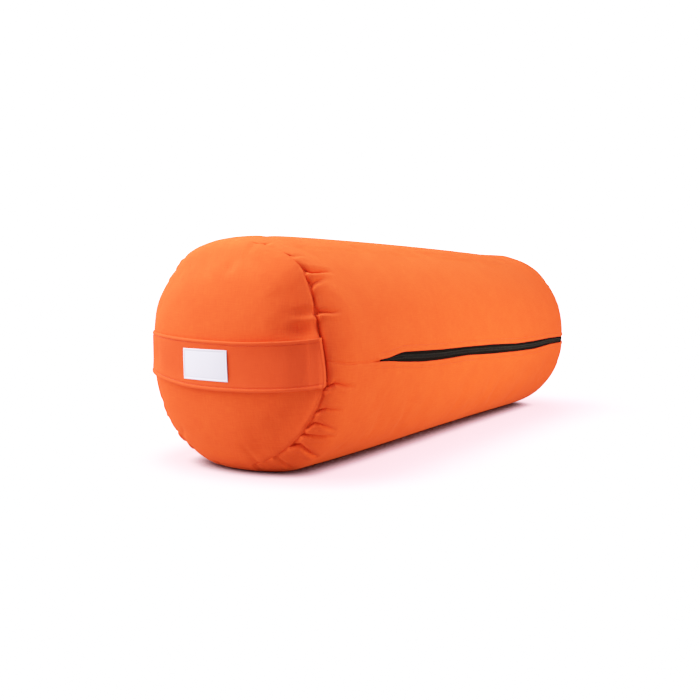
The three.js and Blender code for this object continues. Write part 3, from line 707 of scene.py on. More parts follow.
on_cloth = (along_cloth >= 0) & (along_cloth <= SIDE_CLOTH)
turned = round_angle % 360 * ROUND_MM
lift = np.zeros(len(side_points))
slide = np.zeros(len(side_points))
for shift in (-360 * ROUND_MM, 0, 360 * ROUND_MM):
    for from_seam, pleats in ((along_cloth, NEAR_PLEATS), (SIDE_CLOTH - along_cloth, FAR_PLEATS)):
        height, across = fold_height(from_seam / MM, turned + shift, pleats)
        lift += height
        slide += across
lift = np.where(on_cloth, lift, 0) * MM
slide = np.where(on_cloth, slide, 0) * MM
directions = normals_of(side_panel)
axis_away = side_points - np.array([0, AXIS_Y, CENTRE_HEIGHT])
axis_away[:, 0] = 0
if (directions * axis_away).sum() < 0:
    directions = -directions
round_way = np.cross(axis_away, np.array([-1.0, 0, 0]))
round_way = round_way / np.maximum(np.linalg.norm(round_way, axis=1, keepdims=True), TINY)
side_points = dip_into_seams(side_points + directions * lift[:, None] + round_way * slide[:, None])

FLOOR_BEND = 2.5 * MM  # how soft the bend is where the cloth leaves the floor
side_points[:, 2] = (side_points[:, 2] + np.sqrt(side_points[:, 2] ** 2 + FLOOR_BEND**2)) / 2
side_points[:, 2] -= side_points[:, 2].min()
lay_points(side_panel, side_points)
close_seams(side_panel)
print("lowest point of the side panel:", round(points_of(side_panel)[:, 2].min() / MM, 2), "mm")

# %% [markdown]
# ## The end panels
# Each end is a disc of the same cotton, domed by the filling. It is a thin sheet here, with an outer and an
# inner face, and its rim dives into the seam. The near one shows a few shallow hollows and soft folds at
# its rim.

# %% Make the end panels
PANEL_CLOTH = 1.2 * MM
PANEL_ROWS = np.array([0, 0.6, 1.3, 2.1, 3, 4, 5.2, 6.6, 8.2, 10, 12, 14.2, 16.6, 19.2,
                       *range(22, 90, 3), 90])
PANEL_BACK_ROWS = np.array([0, 8, 20, 36, 54, 72, 90])
PANEL_COLUMNS = 601
NEAR_PANEL_FOLDS = [
    Fold([(-113, 154.5), (-100, 154), (-89, 153), (-82, 148)], 1.5, 5.5, -0.5, 0.9),
    Fold([(-34, 222), (-30, 210), (-28, 200)], 1.0, 7, 0.3, 0.9),
    Fold([(-49.5, 149), (-49.5, 138)], 0.5, 3, 0.2, 0.4),
    Fold([(-36, 8), (-31, 16), (-25, 25), (-20, 33)], 1.2, 6, 0.5, 0.9),
    Fold([(-62, 24), (-56, 32)], 0.9, 6, 0.4, 0.9),
    Fold([(-90, 50), (-82, 56)], 0.8, 6, -0.3, 0.9),
    Fold([(60, 30), (52, 38)], 1.0, 6, 0.4, 0.9),
    Fold([(92, 60), (82, 64)], 0.9, 6, 0.4, 0.9),
    Fold([(70, 196), (62, 186)], 0.8, 7, 0.3, 0.9),
]
FAR_PANEL_FOLDS = [
    Fold([(-84, 44), (-74, 54)], 1.1, 6, 0.4, 0.9),
    Fold([(-50, 20), (-44, 32)], 0.9, 6, -0.4, 0.9),
    Fold([(48, 18), (40, 30)], 1.2, 6, 0.4, 0.9),
    Fold([(88, 52), (76, 60)], 0.9, 6, 0.4, 0.9),
    Fold([(96, 150), (84, 144)], 1.0, 7, 0.4, 0.9),
    Fold([(-92, 168), (-80, 160)], 0.9, 7, -0.3, 0.9),
    Fold([(20, 212), (18, 198)], 0.8, 7, 0.3, 0.9),
]


def make_end_panel(name, node, end, folds):
    """A domed disc of cloth that stands for an end panel of the frame."""
    angles = np.linspace(0, 360, PANEL_COLUMNS)
    steepnesses = np.concatenate([PANEL_ROWS[::-1], [0], PANEL_BACK_ROWS])
    depths = [0] * len(PANEL_ROWS) + [PANEL_CLOTH / 2] + [PANEL_CLOTH] * len(PANEL_BACK_ROWS)
    rings = np.array([panel_surface(end, steepness, angles, -depth)
                      for steepness, depth in zip(steepnesses, depths)])
    rim = np.exp(-steepnesses)  # fades within a degree or two
    rings[..., 0] -= end * PIECE_GAP * rim[:, None]
    height = fold_height((rings[..., 1] - AXIS_Y) / MM, rings[..., 2] / MM, folds)[0] * MM
    out = rings - np.array([(NEAR_SEAM_X if end < 0 else FAR_SEAM_X) - end * CROWN, AXIS_Y, PANEL_CENTRE])
    rings = dip_into_seams(rings + out / np.linalg.norm(out, axis=-1, keepdims=True) * height[..., None])
    disc, row, column = cloth_grid(name, len(rings), PANEL_COLUMNS)
    points = rings[row, column]
    lay_points(disc, points)
    lay_threads(disc, points[:, 1], points[:, 2])
    close_seams(disc)
    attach(disc, "root")
    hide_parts(node)
    return disc


near_panel = make_end_panel("near_end_panel", "end_panel_near", -1, NEAR_PANEL_FOLDS)
far_panel = make_end_panel("far_end_panel", "end_panel_far", 1, FAR_PANEL_FOLDS)

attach(side_panel, "root")
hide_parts("filled_side_panel")

# %% [markdown]
# ## Let the filling press
# A stuffed cushion is never an exact shape: its filling presses the cloth out between the places where it
# is held. That is simulated on a coarse copy. The skins are joined and remeshed to one closed form a little
# smaller than they are. It is held at both seams and on the floor, half held at the zip, and blown up by an
# even pressure. Where it has moved further or less than on average, the fine skins follow it by up to two
# millimetres and keep their folds.

# %% Simulate the filled form
FORM_VOXEL, FORM_SHRINK = 5 * MM, 1.5 * MM
SEAM_HOLD, FLOOR_HOLD = 9 * MM, 3 * MM  # how far from the seams and above the floor it is held
ZIP_BAND, ZIP_HOLD = 14 * MM, 0.5       # how far from the zip it is held, and how firmly
ZIP_SIDE = 0.8                          # share of the half width from where on a point is on the zip's side
NO_ZIP = 1.0                            # the distance given to the other points, in metres
PRESSURE, STIFFNESS = 4, 20
LAST_FRAME = 20
MOST_SWELL = 12 * MM                    # how far a point of the form may move
FREE_OF_SEAMS, FREE_OF_FLOOR = 30 * MM, 25 * MM  # from where on it counts for the usual swell


def ring_distance(points):
    """How far points are from the nearer end seam."""
    outside = (around(points)[1] - 1) * PANEL_HALF_HEIGHT
    from_near, from_far = (np.hypot(points[:, 0] - seam_x, outside) for seam_x in (NEAR_SEAM_X, FAR_SEAM_X))
    return np.minimum(from_near, from_far)


def zip_distance(points):
    """How far points are from the middle of the zip and of the seam that goes on from it."""
    upper, lower = lips_at((points[:, 0] - NEAR_SEAM_X) / MM)
    on_front = points[:, 1] < AXIS_Y - ZIP_SIDE * HALF_WIDTH
    return np.where(on_front, np.abs(points[:, 2] - (upper + lower) / 2 * MM), NO_ZIP)


def fill_form(skins):
    """The places of the coarse form's points, and how far outwards the filling has pressed each of them."""
    form = joined("filled_form", [copy_of(skin) for skin in skins])
    remesh = form.modifiers.new("one skin", "REMESH")
    remesh.mode = "VOXEL"
    remesh.voxel_size = FORM_VOXEL
    select_only(form)
    bpy.ops.object.modifier_apply(modifier=remesh.name)
    start = points_of(form) - FORM_SHRINK * normals_of(form)
    lay_points(form, start)
    held = np.clip([1 - ring_distance(start) / SEAM_HOLD, ZIP_HOLD * (1 - zip_distance(start) / ZIP_BAND),
                    1 - (start[:, 2] - FORM_SHRINK) / FLOOR_HOLD], 0, 1).max(axis=0)
    group = form.vertex_groups.new(name="held")
    for number, share in enumerate(held):
        if share > 0:
            group.add([number], float(share), "REPLACE")
    cloth = form.modifiers.new("filling", "CLOTH")
    settings = cloth.settings
    settings.quality = 5
    settings.use_pressure = True
    settings.uniform_pressure_force = PRESSURE
    settings.effector_weights.gravity = 0
    settings.vertex_group_mass = "held"
    settings.tension_stiffness = settings.compression_stiffness = STIFFNESS
    settings.shrink_min = -0.02
    cloth.point_cache.frame_start, cloth.point_cache.frame_end = 1, LAST_FRAME
    for number in range(1, LAST_FRAME + 1):
        scene.frame_set(number)
    select_only(form)
    bpy.ops.object.modifier_apply(modifier=cloth.name)
    scene.frame_set(1)
    moved = points_of(form) - start
    far = np.linalg.norm(moved, axis=1)
    moved = moved * np.minimum(1, MOST_SWELL / np.maximum(far, TINY))[:, None]
    lay_points(form, start)
    pressed = (moved * normals_of(form)).sum(axis=1)
    bpy.data.objects.remove(form)
    return start, pressed


settle_tree = None
form_points, pressed = fill_form([near_panel, side_panel, far_panel])
loose = pressed[(ring_distance(form_points) > FREE_OF_SEAMS) & (form_points[:, 2] > FREE_OF_FLOOR)]
usual = np.median(loose)
print("the filling presses the form out by", round(float(usual) / MM, 1), "mm,",
      "from", round(float(loose.min()) / MM, 1), "to", round(float(loose.max()) / MM, 1))
settle_tree = KDTree(len(form_points))
for number, point in enumerate(form_points):
    settle_tree.insert(point, number)
settle_tree.balance()

# %% How the fine skins follow it
MOST_SETTLE = 2 * MM      # how far the skins may follow the form
SEAM_FADE = 35 * MM       # over which they come to follow it fully, away from the seams
FLOOR_FADE = 30 * MM      # up from the floor, from FLOOR_HELD on
ZIP_FADE = 25 * MM        # and away from the band beside the zip
FLOOR_HELD = 4 * MM
END_TURN, END_LEAN = 30 * MM, 3  # closer than this to an end they follow it more and more along the axis too
NEIGHBOURS, NEIGHBOUR_BLUR = 8, 4 * MM


def settle_on_filling(piece):
    """Moves the points of a piece in or out with the filled form."""
    if settle_tree is None:
        return
    points = points_of(piece)
    free = smooth_share(ring_distance(points) / SEAM_FADE)
    free = free * smooth_share((points[:, 2] - FLOOR_HELD) / FLOOR_FADE)
    free = free * smooth_share((zip_distance(points) - ZIP_BAND) / ZIP_FADE)
    away = points - np.array([0, AXIS_Y, PANEL_CENTRE])
    beyond = np.clip(np.abs(points[:, 0]) - SEAM_TO_SEAM / 2 + END_TURN, 0, None)
    away[:, 0] = np.sign(points[:, 0]) * beyond * END_LEAN
    away = away / np.maximum(np.linalg.norm(away, axis=1, keepdims=True), TINY)
    follow = np.zeros(len(points))
    for number in np.flatnonzero(free > 0):
        near = settle_tree.find_n(points[number], NEIGHBOURS)
        weights = [1 / (distance + NEIGHBOUR_BLUR) ** 2 for _, _, distance in near]
        total = sum(weight * pressed[index] for weight, (_, index, _) in zip(weights, near))
        follow[number] = total / sum(weights) - usual
    settled = free * MOST_SETTLE * np.tanh(follow / MOST_SETTLE)
    lay_points(piece, points + away * settled[:, None])
    print(piece.name, "follows by up to", round(float(np.abs(settled).max()) / MM, 2), "mm")


# %% [markdown]
# ## The carry strap
# The strap is a band of cotton folded to several layers and topstitched along both edges. It lies flat on
# the dome and is caught in the seam at both ends. Its section is drawn once as a closed ring of points: a
# top face that dips at the stitch lines, two soft edges and a flat back.

# %% Make the carry strap
STRAP_LINE = [  # turn in degrees from the front seam to the back seam, middle and half width in mm
    (0, 111, 21), (33, 107.1, 22), (50, 105.1, 22.2), (70, 103.7, 22.2), (97, 104.1, 22.7),
    (110, 105.2, 22.6), (123, 107.2, 21.8), (136, 109, 21.4), (153, 111.2, 20.6), (180, 113, 20),
]
STRAP_HALF_WIDTH = 22  # mm, about the same all along
STRAP_GAP, BACK_GAP = 0.45 * MM, 0.12 * MM  # the air under the strap, and under its ends
STRAP_CLOTH, STRAP_END_CLOTH = 1.8 * MM, 0.9 * MM
GAP_TAPER, STRAP_TAPER = 8, 24  # degrees of its turn over which the strap is pulled tight and flat in front
BACK_TAPER = 60                 # and at its back end
STRAP_TOP = 1.04                # share of the cloth's thickness that its top face stands at
StrapPoint = namedtuple("StrapPoint", "across from_edge height")
# across: -1 is the lower edge and 1 the upper; from_edge: mm inwards from it; height: share of the cloth
STRAP_EDGE = [(0.5, 0.0), (0.1, 0.2), (0.0, 0.45), (0.15, 0.7), (0.6, 0.95), (1.2, 1.13), (1.9, 1.24),
              (2.5, 1.2), (2.9, 1.02), (3.2, 0.8), (3.5, 0.72), (3.8, 0.82), (4.3, 0.98), (5.2, STRAP_TOP)]
strap_section = [StrapPoint(-1, inwards, height) for inwards, height in STRAP_EDGE]
strap_section += [StrapPoint(share, 0, STRAP_TOP) for share in np.linspace(-0.62, 0.62, 15)]
strap_section += [StrapPoint(1, inwards, height) for inwards, height in reversed(STRAP_EDGE)]
strap_section += [StrapPoint(share, 0, 0.0) for share in np.linspace(0.9, -0.9, 9)]
strap_section += [strap_section[0]]


def strap_place(turn, across, from_edge, raised):
    """Points over the strap's line on the near dome."""
    middle = soft_read(turn, [row[:2] for row in STRAP_LINE], 8) * MM
    half_width = soft_read(turn, [row[::2] for row in STRAP_LINE], 8) * MM
    z = middle + across * half_width - np.sign(across) * from_edge * MM
    up = np.abs(z - PANEL_CENTRE) / PANEL_HALF_HEIGHT
    y = -np.cos(np.radians(turn)) * PANEL_HALF_WIDTH * (1 - up**SQUARENESS) ** (1 / SQUARENESS)
    return dome_surface(-1, AXIS_Y + y, z, raised)


def tapered(turn, ends, middle, front_taper):
    """A size at a turn that is smaller towards both ends of the strap."""
    return ends + (middle - ends) * np.clip(np.minimum(turn / front_taper, (180 - turn) / BACK_TAPER), 0, 1)


# how far both edges stand off the dome: turn in degrees, mm
UPPER_EDGE_LIFTS = [(0, 0), (6, 2.6), (20, 4.4), (60, 4.0), (85, 2.6), (110, 1.0), (140, 0), (180, 0)]
LOWER_EDGE_LIFTS = [(0, 0), (10, 2.0), (60, 2.6), (110, 3.4), (150, 3.4), (168, 0.8), (180, 0)]
STRAP_ROWS = 171


def strap_skin(turn, across, from_edge, height):
    """Points of the strap's surface, with its edges standing off the dome."""
    upper = soft_read(turn, UPPER_EDGE_LIFTS, 4) * np.clip(across - from_edge / STRAP_HALF_WIDTH, 0, 1) ** 3
    lower = soft_read(turn, LOWER_EDGE_LIFTS, 4) * np.clip(-across - from_edge / STRAP_HALF_WIDTH, 0, 1) ** 3
    off = (upper + lower) * MM
    gap = tapered(turn, BACK_GAP, STRAP_GAP, GAP_TAPER)
    thickness = tapered(turn, STRAP_END_CLOTH, STRAP_CLOTH, STRAP_TAPER)
    under = strap_place(turn, across, from_edge, 0)
    over = strap_place(turn, across, from_edge, gap + off + height * thickness)
    return over + dip_into_seams(under) - under


strap_turns = np.linspace(0, 180, STRAP_ROWS)
section = np.array(strap_section)
strap, strap_row, strap_column = cloth_grid("strap", STRAP_ROWS, len(section))
strap_points = strap_skin(strap_turns[strap_row], *section[strap_column].T)
lay_points(strap, strap_points)
lay_threads(strap, strap_points[:, 1], strap_points[:, 2])
close_seams(strap)
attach(strap, "root")
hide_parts("carry_strap")
strap_line = strap_place(strap_turns, 0, 0, 0)

# %% [markdown]
# ## The label
# A small woven label is sewn flat onto the strap. It carries nothing here. Its edges are folded under, so
# they are a little thicker, and the stitches along them hold it down.

# %% Make the label
LABEL_BACK, LABEL_FRONT = 33.5 * MM, -21 * MM
LABEL_BOTTOM, LABEL_TOP = 90 * MM, 118.4 * MM
LABEL_CLOTH = 0.7 * MM
LABEL_OVER = STRAP_GAP + STRAP_TOP * STRAP_CLOTH + 0.3 * MM + LABEL_CLOTH  # its face over the end panel
LABEL_ROWS, LABEL_COLUMNS = 61, 111


def thicken(piece, axis, cloth):
    """Turns a flat sheet to face backwards along an axis, 0 for X or 1 for Y, and gives it a thickness."""
    outward(piece)
    if sum(polygon.normal[axis] for polygon in piece.data.polygons) > 0:
        piece.data.flip_normals()
    select_only(piece)
    thick = piece.modifiers.new("cloth", "SOLIDIFY")
    thick.thickness = cloth
    thick.offset = -1
    bpy.ops.object.modifier_apply(modifier=thick.name)


label, label_row, label_column = cloth_grid("bare_label", LABEL_ROWS, LABEL_COLUMNS)
label_y = LABEL_FRONT + (LABEL_BACK - LABEL_FRONT) * label_column / (LABEL_COLUMNS - 1)
label_z = LABEL_BOTTOM + (LABEL_TOP - LABEL_BOTTOM) * label_row / (LABEL_ROWS - 1)
from_edge = np.minimum(np.minimum(label_y - LABEL_FRONT, LABEL_BACK - label_y),
                       np.minimum(label_z - LABEL_BOTTOM, LABEL_TOP - label_z)) / MM
hem = 0.25 * np.exp(-(((from_edge - 0.6) / 0.9) ** 2))     # the edge folded under
groove = 0.22 * np.exp(-(((from_edge - 2.0) / 0.5) ** 2))  # where the stitches pull it down
lay_points(label, dome_surface(-1, AXIS_Y + label_y, label_z, LABEL_OVER + (hem - groove) * MM))
lay_threads(label, label_y, label_z)
thicken(label, 0, LABEL_CLOTH)
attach(label, "root")
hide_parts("label")

# %% [markdown]
# ## The zip
# Two woven tapes run under the lips, each about a centimetre wide here, half of it hidden in the pocket.
# Along the middle the closed coil hides their inner edges. A coil zip's teeth are the turns of one stiff
# thread on each side; one pair of turns is modelled and repeated along the zip.

# %% Make the zip tapes
ZIP_PIECE_START = 71
ZIP_PIECE_END = SEAM_TO_SEAM / MM - 12
TAPE_CLOTH = 0.6 * MM
TAPE_TOP = -1.72 * MM
TAPE_UNDER_LIP = 4.2  # mm
TAPE_SLIT = 0.35      # mm from the middle of the zip to the inner edge of a tape
SLIT_LIMIT = 0.3      # share of the half opening that the slit takes at most
TAPE_ROWS, TAPE_COLUMNS = 13, 240


def zip_surface(from_seam, height, raised):
    """Points over the zip's channel at distances and heights in mm."""
    cloth = (from_seam - TURN_LENGTH / MM) * MM + TURN_CLOTH
    return side_surface(cloth, front_angle(height), raised)


def make_tape(name, node, lip):
    """One of the two zip tapes, from the slit to its outer edge under the lip."""
    stations = np.linspace(ZIP_PIECE_START, ZIP_PIECE_END, TAPE_COLUMNS)
    tape, row, column = cloth_grid(name, TAPE_ROWS, TAPE_COLUMNS)
    upper, lower = lips_at(stations)
    middle = (upper + lower) / 2
    edge = upper if lip > 0 else lower
    share = row / (TAPE_ROWS - 1)
    inner = middle + lip * np.minimum(TAPE_SLIT, SLIT_LIMIT * np.abs(edge - middle))
    height = inner[column] + share * (edge + lip * TAPE_UNDER_LIP - inner)[column]
    from_seam = stations[column]
    lay_points(tape, zip_surface(from_seam, height, TAPE_TOP))
    lay_threads(tape, from_seam * MM, height * MM)
    thicken(tape, 1, TAPE_CLOTH)
    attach(tape, "root")
    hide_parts(node)
    return tape


upper_tape = make_tape("upper_tape", "zip_tape_upper", 1)
lower_tape = make_tape("lower_tape", "zip_tape_lower", -1)

# %% Make the coil
COIL_PITCH = 1.4        # mm
COIL_HALF_WIDTH = 3.0
COIL_HEIGHT = 1.35
COIL_WIDTH_LIMIT = 0.85  # share of the half opening that the coil takes at the narrow tip
COIL_FALL = 0.35         # share of its height that a turn loses at its outer edge
TURN_RADIUS = 0.48
TURN_MIDDLE, TURN_REACH = 0.46, 0.54  # shares of the half width, so that a turn reaches just past the middle
TURN_LIFT = 0.05

coil_places = np.arange(ZIP_PIECE_START + 0.5, ZIP_PIECE_END - 0.5, COIL_PITCH)
bpy.ops.object.select_all(action="DESELECT")
bpy.ops.mesh.primitive_uv_sphere_add(segments=8, ring_count=6, radius=1, location=(0, 0, 0))
turn_shape = bpy.context.object
turn_points = points_of(turn_shape)
coil_turns = []
for station in coil_places:
    for lip in (1, -1):
        from_seam = station + (COIL_PITCH / 2 if lip < 0 else 0)
        upper, lower = lips_at(from_seam)
        half_width = min(COIL_HALF_WIDTH, COIL_WIDTH_LIMIT * (upper - lower) / 2)
        along = from_seam + turn_points[:, 1] * TURN_RADIUS
        out = lip * half_width * (TURN_MIDDLE + TURN_REACH * turn_points[:, 0])
        crest = (1 + turn_points[:, 2]) / 2 * COIL_HEIGHT * (1 - COIL_FALL * (out / half_width) ** 2)
        coil_turns.append(copy_of(turn_shape))
        raised = TAPE_TOP + (TURN_LIFT + crest) * MM
        lay_points(coil_turns[-1], zip_surface(along, (upper + lower) / 2 + out, raised))
bpy.data.objects.remove(turn_shape)
coil = joined("coil", coil_turns)
outward(coil)
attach(coil, "root")
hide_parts("zip_coil")
print("coil turns:", 2 * len(coil_places))

# %% [markdown]
# ## The stitches
# Every visible row of sewing is made of real threads. One stitch is a short, fat thread. It is laid down at
# each place of its row, on the surface of the cloth, and half sunk in the groove that the row pulls.

# %% Sew the strap, the label and the lips of the zip
THREAD_RADIUS = 0.22 * MM
bpy.ops.object.select_all(action="DESELECT")
bpy.ops.mesh.primitive_uv_sphere_add(segments=6, ring_count=5, radius=1, location=(0, 0, 0))
stitch_shape = bpy.context.object
stitch_points = points_of(stitch_shape)


def sew(name, length, places, lay):
    """Lays one stitch at each place of a row. Lay turns the place and the thread's own sizes to points."""
    made = [copy_of(stitch_shape) for _ in places]
    along = signed_power(stitch_points[:, 2], 0.7) * length / 2
    aside, up = stitch_points[:, 0] * THREAD_RADIUS, stitch_points[:, 1] * THREAD_RADIUS
    for stitch, place in zip(made, places):
        lay_points(stitch, lay(place, along, aside, up))
    row = joined(name, made)
    outward(row)
    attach(row, "root")
    return row


STRAP_STITCH, STRAP_STITCH_PITCH = 2.3 * MM, 3.0 * MM
ROW_STARTS = 5 * MM
STITCH_ROW_IN, STITCH_ROW_UP = 3.5, 0.76  # mm from the edge of the strap, share of its thickness
strap_arc = np.concatenate([[0], np.cumsum(np.linalg.norm(np.diff(strap_line, axis=0), axis=1))])


def on_strap(place, along, aside, up):
    """Points over the groove of a row along the strap."""
    arc, edge = place
    turn = np.interp(arc + along, strap_arc, strap_turns)
    return strap_skin(turn, edge, STITCH_ROW_IN + aside / MM, STITCH_ROW_UP + up / STRAP_CLOTH)


strap_places = [(arc, edge) for edge in (1, -1)
                for arc in np.arange(ROW_STARTS, strap_arc[-1] - ROW_STARTS, STRAP_STITCH_PITCH)]
strap_stitches = sew("strap_stitches", STRAP_STITCH, strap_places, on_strap)

LABEL_STITCH, LABEL_STITCH_PITCH = 1.8 * MM, 2.4 * MM
LABEL_ROW_IN, LABEL_GROOVE = 2.0 * MM, 0.2 * MM
label_low_y, label_high_y = LABEL_FRONT + LABEL_ROW_IN, LABEL_BACK - LABEL_ROW_IN
label_low_z, label_high_z = LABEL_BOTTOM + LABEL_ROW_IN, LABEL_TOP - LABEL_ROW_IN


def on_label(place, along, aside, up):
    """Points over a row that runs across or up the label."""
    y, z, runs_up = place
    over = LABEL_OVER - LABEL_GROOVE + up
    if runs_up:
        return dome_surface(-1, AXIS_Y + y + aside, z + along, over)
    return dome_surface(-1, AXIS_Y + y + along, z + aside, over)


label_places = [(y, z, False) for z in (label_low_z, label_high_z)
                for y in np.arange(label_low_y, label_high_y, LABEL_STITCH_PITCH)]
label_places += [(y, z, True) for y in (label_low_y, label_high_y)
                 for z in np.arange(label_low_z + LABEL_STITCH_PITCH, label_high_z, LABEL_STITCH_PITCH)]
label_stitches = sew("label_stitches", LABEL_STITCH, label_places, on_label)

ZIP_STITCH, ZIP_STITCH_PITCH = 2.3 * MM, 3.1
ZIP_ROW_OUT, ZIP_GROOVE = 5.8, 0.22 * MM  # mm from the edge of a lip, how deep the row lies


def beside_zip(place, along, aside, up):
    """Points over the row of one lip."""
    station, lip = place
    from_seam = station + along / MM
    upper, lower = lips_at(from_seam)
    height = upper + ZIP_ROW_OUT + aside / MM if lip > 0 else lower - ZIP_ROW_OUT - aside / MM
    return zip_surface(from_seam, height, up - ZIP_GROOVE)


zip_places = [(station, lip) for lip in (1, -1)
              for station in np.arange(ZIP_PIECE_START, ZIP_PIECE_END, ZIP_STITCH_PITCH)]
zip_stitches = sew("zip_stitches", ZIP_STITCH, zip_places, beside_zip)
bpy.data.objects.remove(stitch_shape)
print("stitches:", len(strap_places) + len(label_places) + len(zip_places))

# %% Let every piece that lies on the filling follow it
for piece in (side_panel, near_panel, far_panel, strap, label, strap_stitches, label_stitches):
    settle_on_filling(piece)

# %% [markdown]
# ## Finishes
# Colours are given as the sRGB hex values that an eye sees, and one function turns them to the linear
# numbers that the shader wants. Another adds a node with its settings and its links.

# %% Helpers for materials


def linear(hex_colour):
    """A colour from its sRGB hex value, in linear light with full alpha."""
    channels = [int(hex_colour[i:i + 2], 16) / 255 for i in (1, 3, 5)]
    return [c / 12.92 if c <= 0.04045 else ((c + 0.055) / 1.055) ** 2.4 for c in channels] + [1.0]


def add_node(tree, kind, inputs=None, **settings):
    """Adds a node with its settings. Inputs are values, or outputs of other nodes that are linked."""
    node = tree.nodes.new(kind)
    for name, value in settings.items():
        setattr(node, name, value)
    for socket, value in (inputs or {}).items():
        if isinstance(value, bpy.types.NodeSocket):
            tree.links.new(value, node.inputs[socket])
        else:
            node.inputs[socket].default_value = value
    return node


def new_finish(name):
    """An empty material with its output node."""
    material = bpy.data.materials.new(name)
    material.use_nodes = True
    material.node_tree.nodes.clear()
    return material, material.node_tree


def dress(piece, material):
    """Gives a piece one finish all over."""
    piece.data.materials.clear()
    piece.data.materials.append(material)


# %% [markdown]
# ## Orange cotton
# The cover is a dyed plain-weave cotton: matte, with a faint bloom of fibre ends that brightens it where it
# turns away. Its threads lie half a millimetre apart, which is too fine to show here, so the weave is drawn
# a little coarser. Uneven yarns make short streaks along both thread directions, and the dye is a little
# uneven.

# %% The cotton finish
THREAD_PITCH = 0.8 * MM  # 0.5 mm on the real cloth, drawn coarser so that it shows
WEAVE_SCALE = 6.2832 / 20 / THREAD_PITCH  # a wave node turns by 20 radians in each unit
YARN_ALONG, YARN_ACROSS = 90, 1300        # how often the yarns change in a metre, along and across them


def cotton_finish(name, deep, mid, light):
    """Plain-weave cotton in three close shades of its dye."""
    material, tree = new_finish(name)
    threads = add_node(tree, "ShaderNodeUVMap", uv_map="threads").outputs["UV"]
    swings, yarn_noises = [], []
    for direction, stretch in (("X", (YARN_ALONG, YARN_ACROSS, 1)), ("Y", (YARN_ACROSS, YARN_ALONG, 1))):
        ribs = add_node(tree, "ShaderNodeTexWave", {"Vector": threads, "Scale": WEAVE_SCALE},
                        wave_type="BANDS", bands_direction=direction, wave_profile="SIN")
        swing = add_node(tree, "ShaderNodeMath", {0: ribs.outputs["Fac"], 1: 0.5}, operation="SUBTRACT")
        stretched = add_node(tree, "ShaderNodeMapping", {"Vector": threads, "Scale": stretch})
        yarn = add_node(tree, "ShaderNodeTexNoise", {"Vector": stretched.outputs[0], "Scale": 1, "Detail": 3})
        swings.append(swing.outputs[0])
        yarn_noises.append(yarn.outputs["Fac"])
    crossing = add_node(tree, "ShaderNodeMath", dict(enumerate(swings)), operation="MULTIPLY")
    yarns = add_node(tree, "ShaderNodeMath", dict(enumerate(yarn_noises)), operation="ADD")
    place = add_node(tree, "ShaderNodeTexCoord").outputs["Object"]
    dye = add_node(tree, "ShaderNodeTexNoise", {"Vector": place, "Scale": 34, "Detail": 3, "Roughness": 0.6})
    yarn_share = add_node(tree, "ShaderNodeMath", {0: yarns.outputs[0], 1: 0.42}, operation="MULTIPLY")
    blend = add_node(tree, "ShaderNodeMath", {0: dye.outputs["Fac"], 1: 0.25, 2: yarn_share.outputs[0]},
                     operation="MULTIPLY_ADD")
    shade = add_node(tree, "ShaderNodeValToRGB", {"Fac": blend.outputs[0]})
    ramp = shade.color_ramp
    ramp.elements[0].position, ramp.elements[0].color = 0.3, linear(deep)
    ramp.elements[1].position, ramp.elements[1].color = 0.78, linear(light)
    ramp.elements.new(0.54).color = linear(mid)
    weave = add_node(tree, "ShaderNodeBump", {
        "Height": crossing.outputs[0], "Strength": 0.3, "Distance": 0.3 * MM})
    slubs = add_node(tree, "ShaderNodeBump", {
        "Height": yarns.outputs[0], "Strength": 0.15, "Distance": 0.5 * MM, "Normal": weave.outputs[0]})
    shader = add_node(tree, "ShaderNodeBsdfPrincipled", {
        "Base Color": shade.outputs["Color"], "Roughness": 0.93, "IOR": 1.45, "Specular IOR Level": 0.04,
        "Sheen Weight": 0.12, "Sheen Roughness": 0.45, "Sheen Tint": linear("#ff7a3c"),
        "Normal": slubs.outputs[0]})
    add_node(tree, "ShaderNodeOutputMaterial", {"Surface": shader.outputs["BSDF"]})
    return material


body_cotton = cotton_finish("dyed_plain_weave_cotton", "#cd3717", "#db3f1b", "#e64820")
strap_cotton = cotton_finish("folded_strap_cotton", "#cb381a", "#d33c1c", "#da401f")
for cotton_piece in (side_panel, near_panel, far_panel):
    dress(cotton_piece, body_cotton)
dress(strap, strap_cotton)


# %% The thread, label and zip finishes


def twist(tree):
    """The height of the twist of a sewing thread."""
    place = add_node(tree, "ShaderNodeTexCoord").outputs["Object"]
    grain = add_node(tree, "ShaderNodeTexNoise", {"Vector": place, "Scale": 2600, "Detail": 1})
    return grain.outputs["Fac"]


def ribs(tree, direction, scale):
    """The height of ribs that are woven across one direction of a cloth."""
    threads = add_node(tree, "ShaderNodeUVMap", uv_map="threads").outputs["UV"]
    waves = add_node(tree, "ShaderNodeTexWave", {"Vector": threads, "Scale": scale},
                     bands_direction=direction)
    return waves.outputs["Fac"]


def small_finish(name, hex_colour, roughness, specular, relief=None, strength=0.0, distance=0.0):
    """A finish of one colour. Relief gets its node tree and gives the height of the surface."""
    material, tree = new_finish(name)
    inputs = {"Base Color": linear(hex_colour), "Roughness": roughness, "Specular IOR Level": specular}
    if relief:
        bump = add_node(tree, "ShaderNodeBump", {
            "Height": relief(tree), "Strength": strength, "Distance": distance})
        inputs["Normal"] = bump.outputs[0]
    shader = add_node(tree, "ShaderNodeBsdfPrincipled", inputs)
    add_node(tree, "ShaderNodeOutputMaterial", {"Surface": shader.outputs["BSDF"]})
    return material


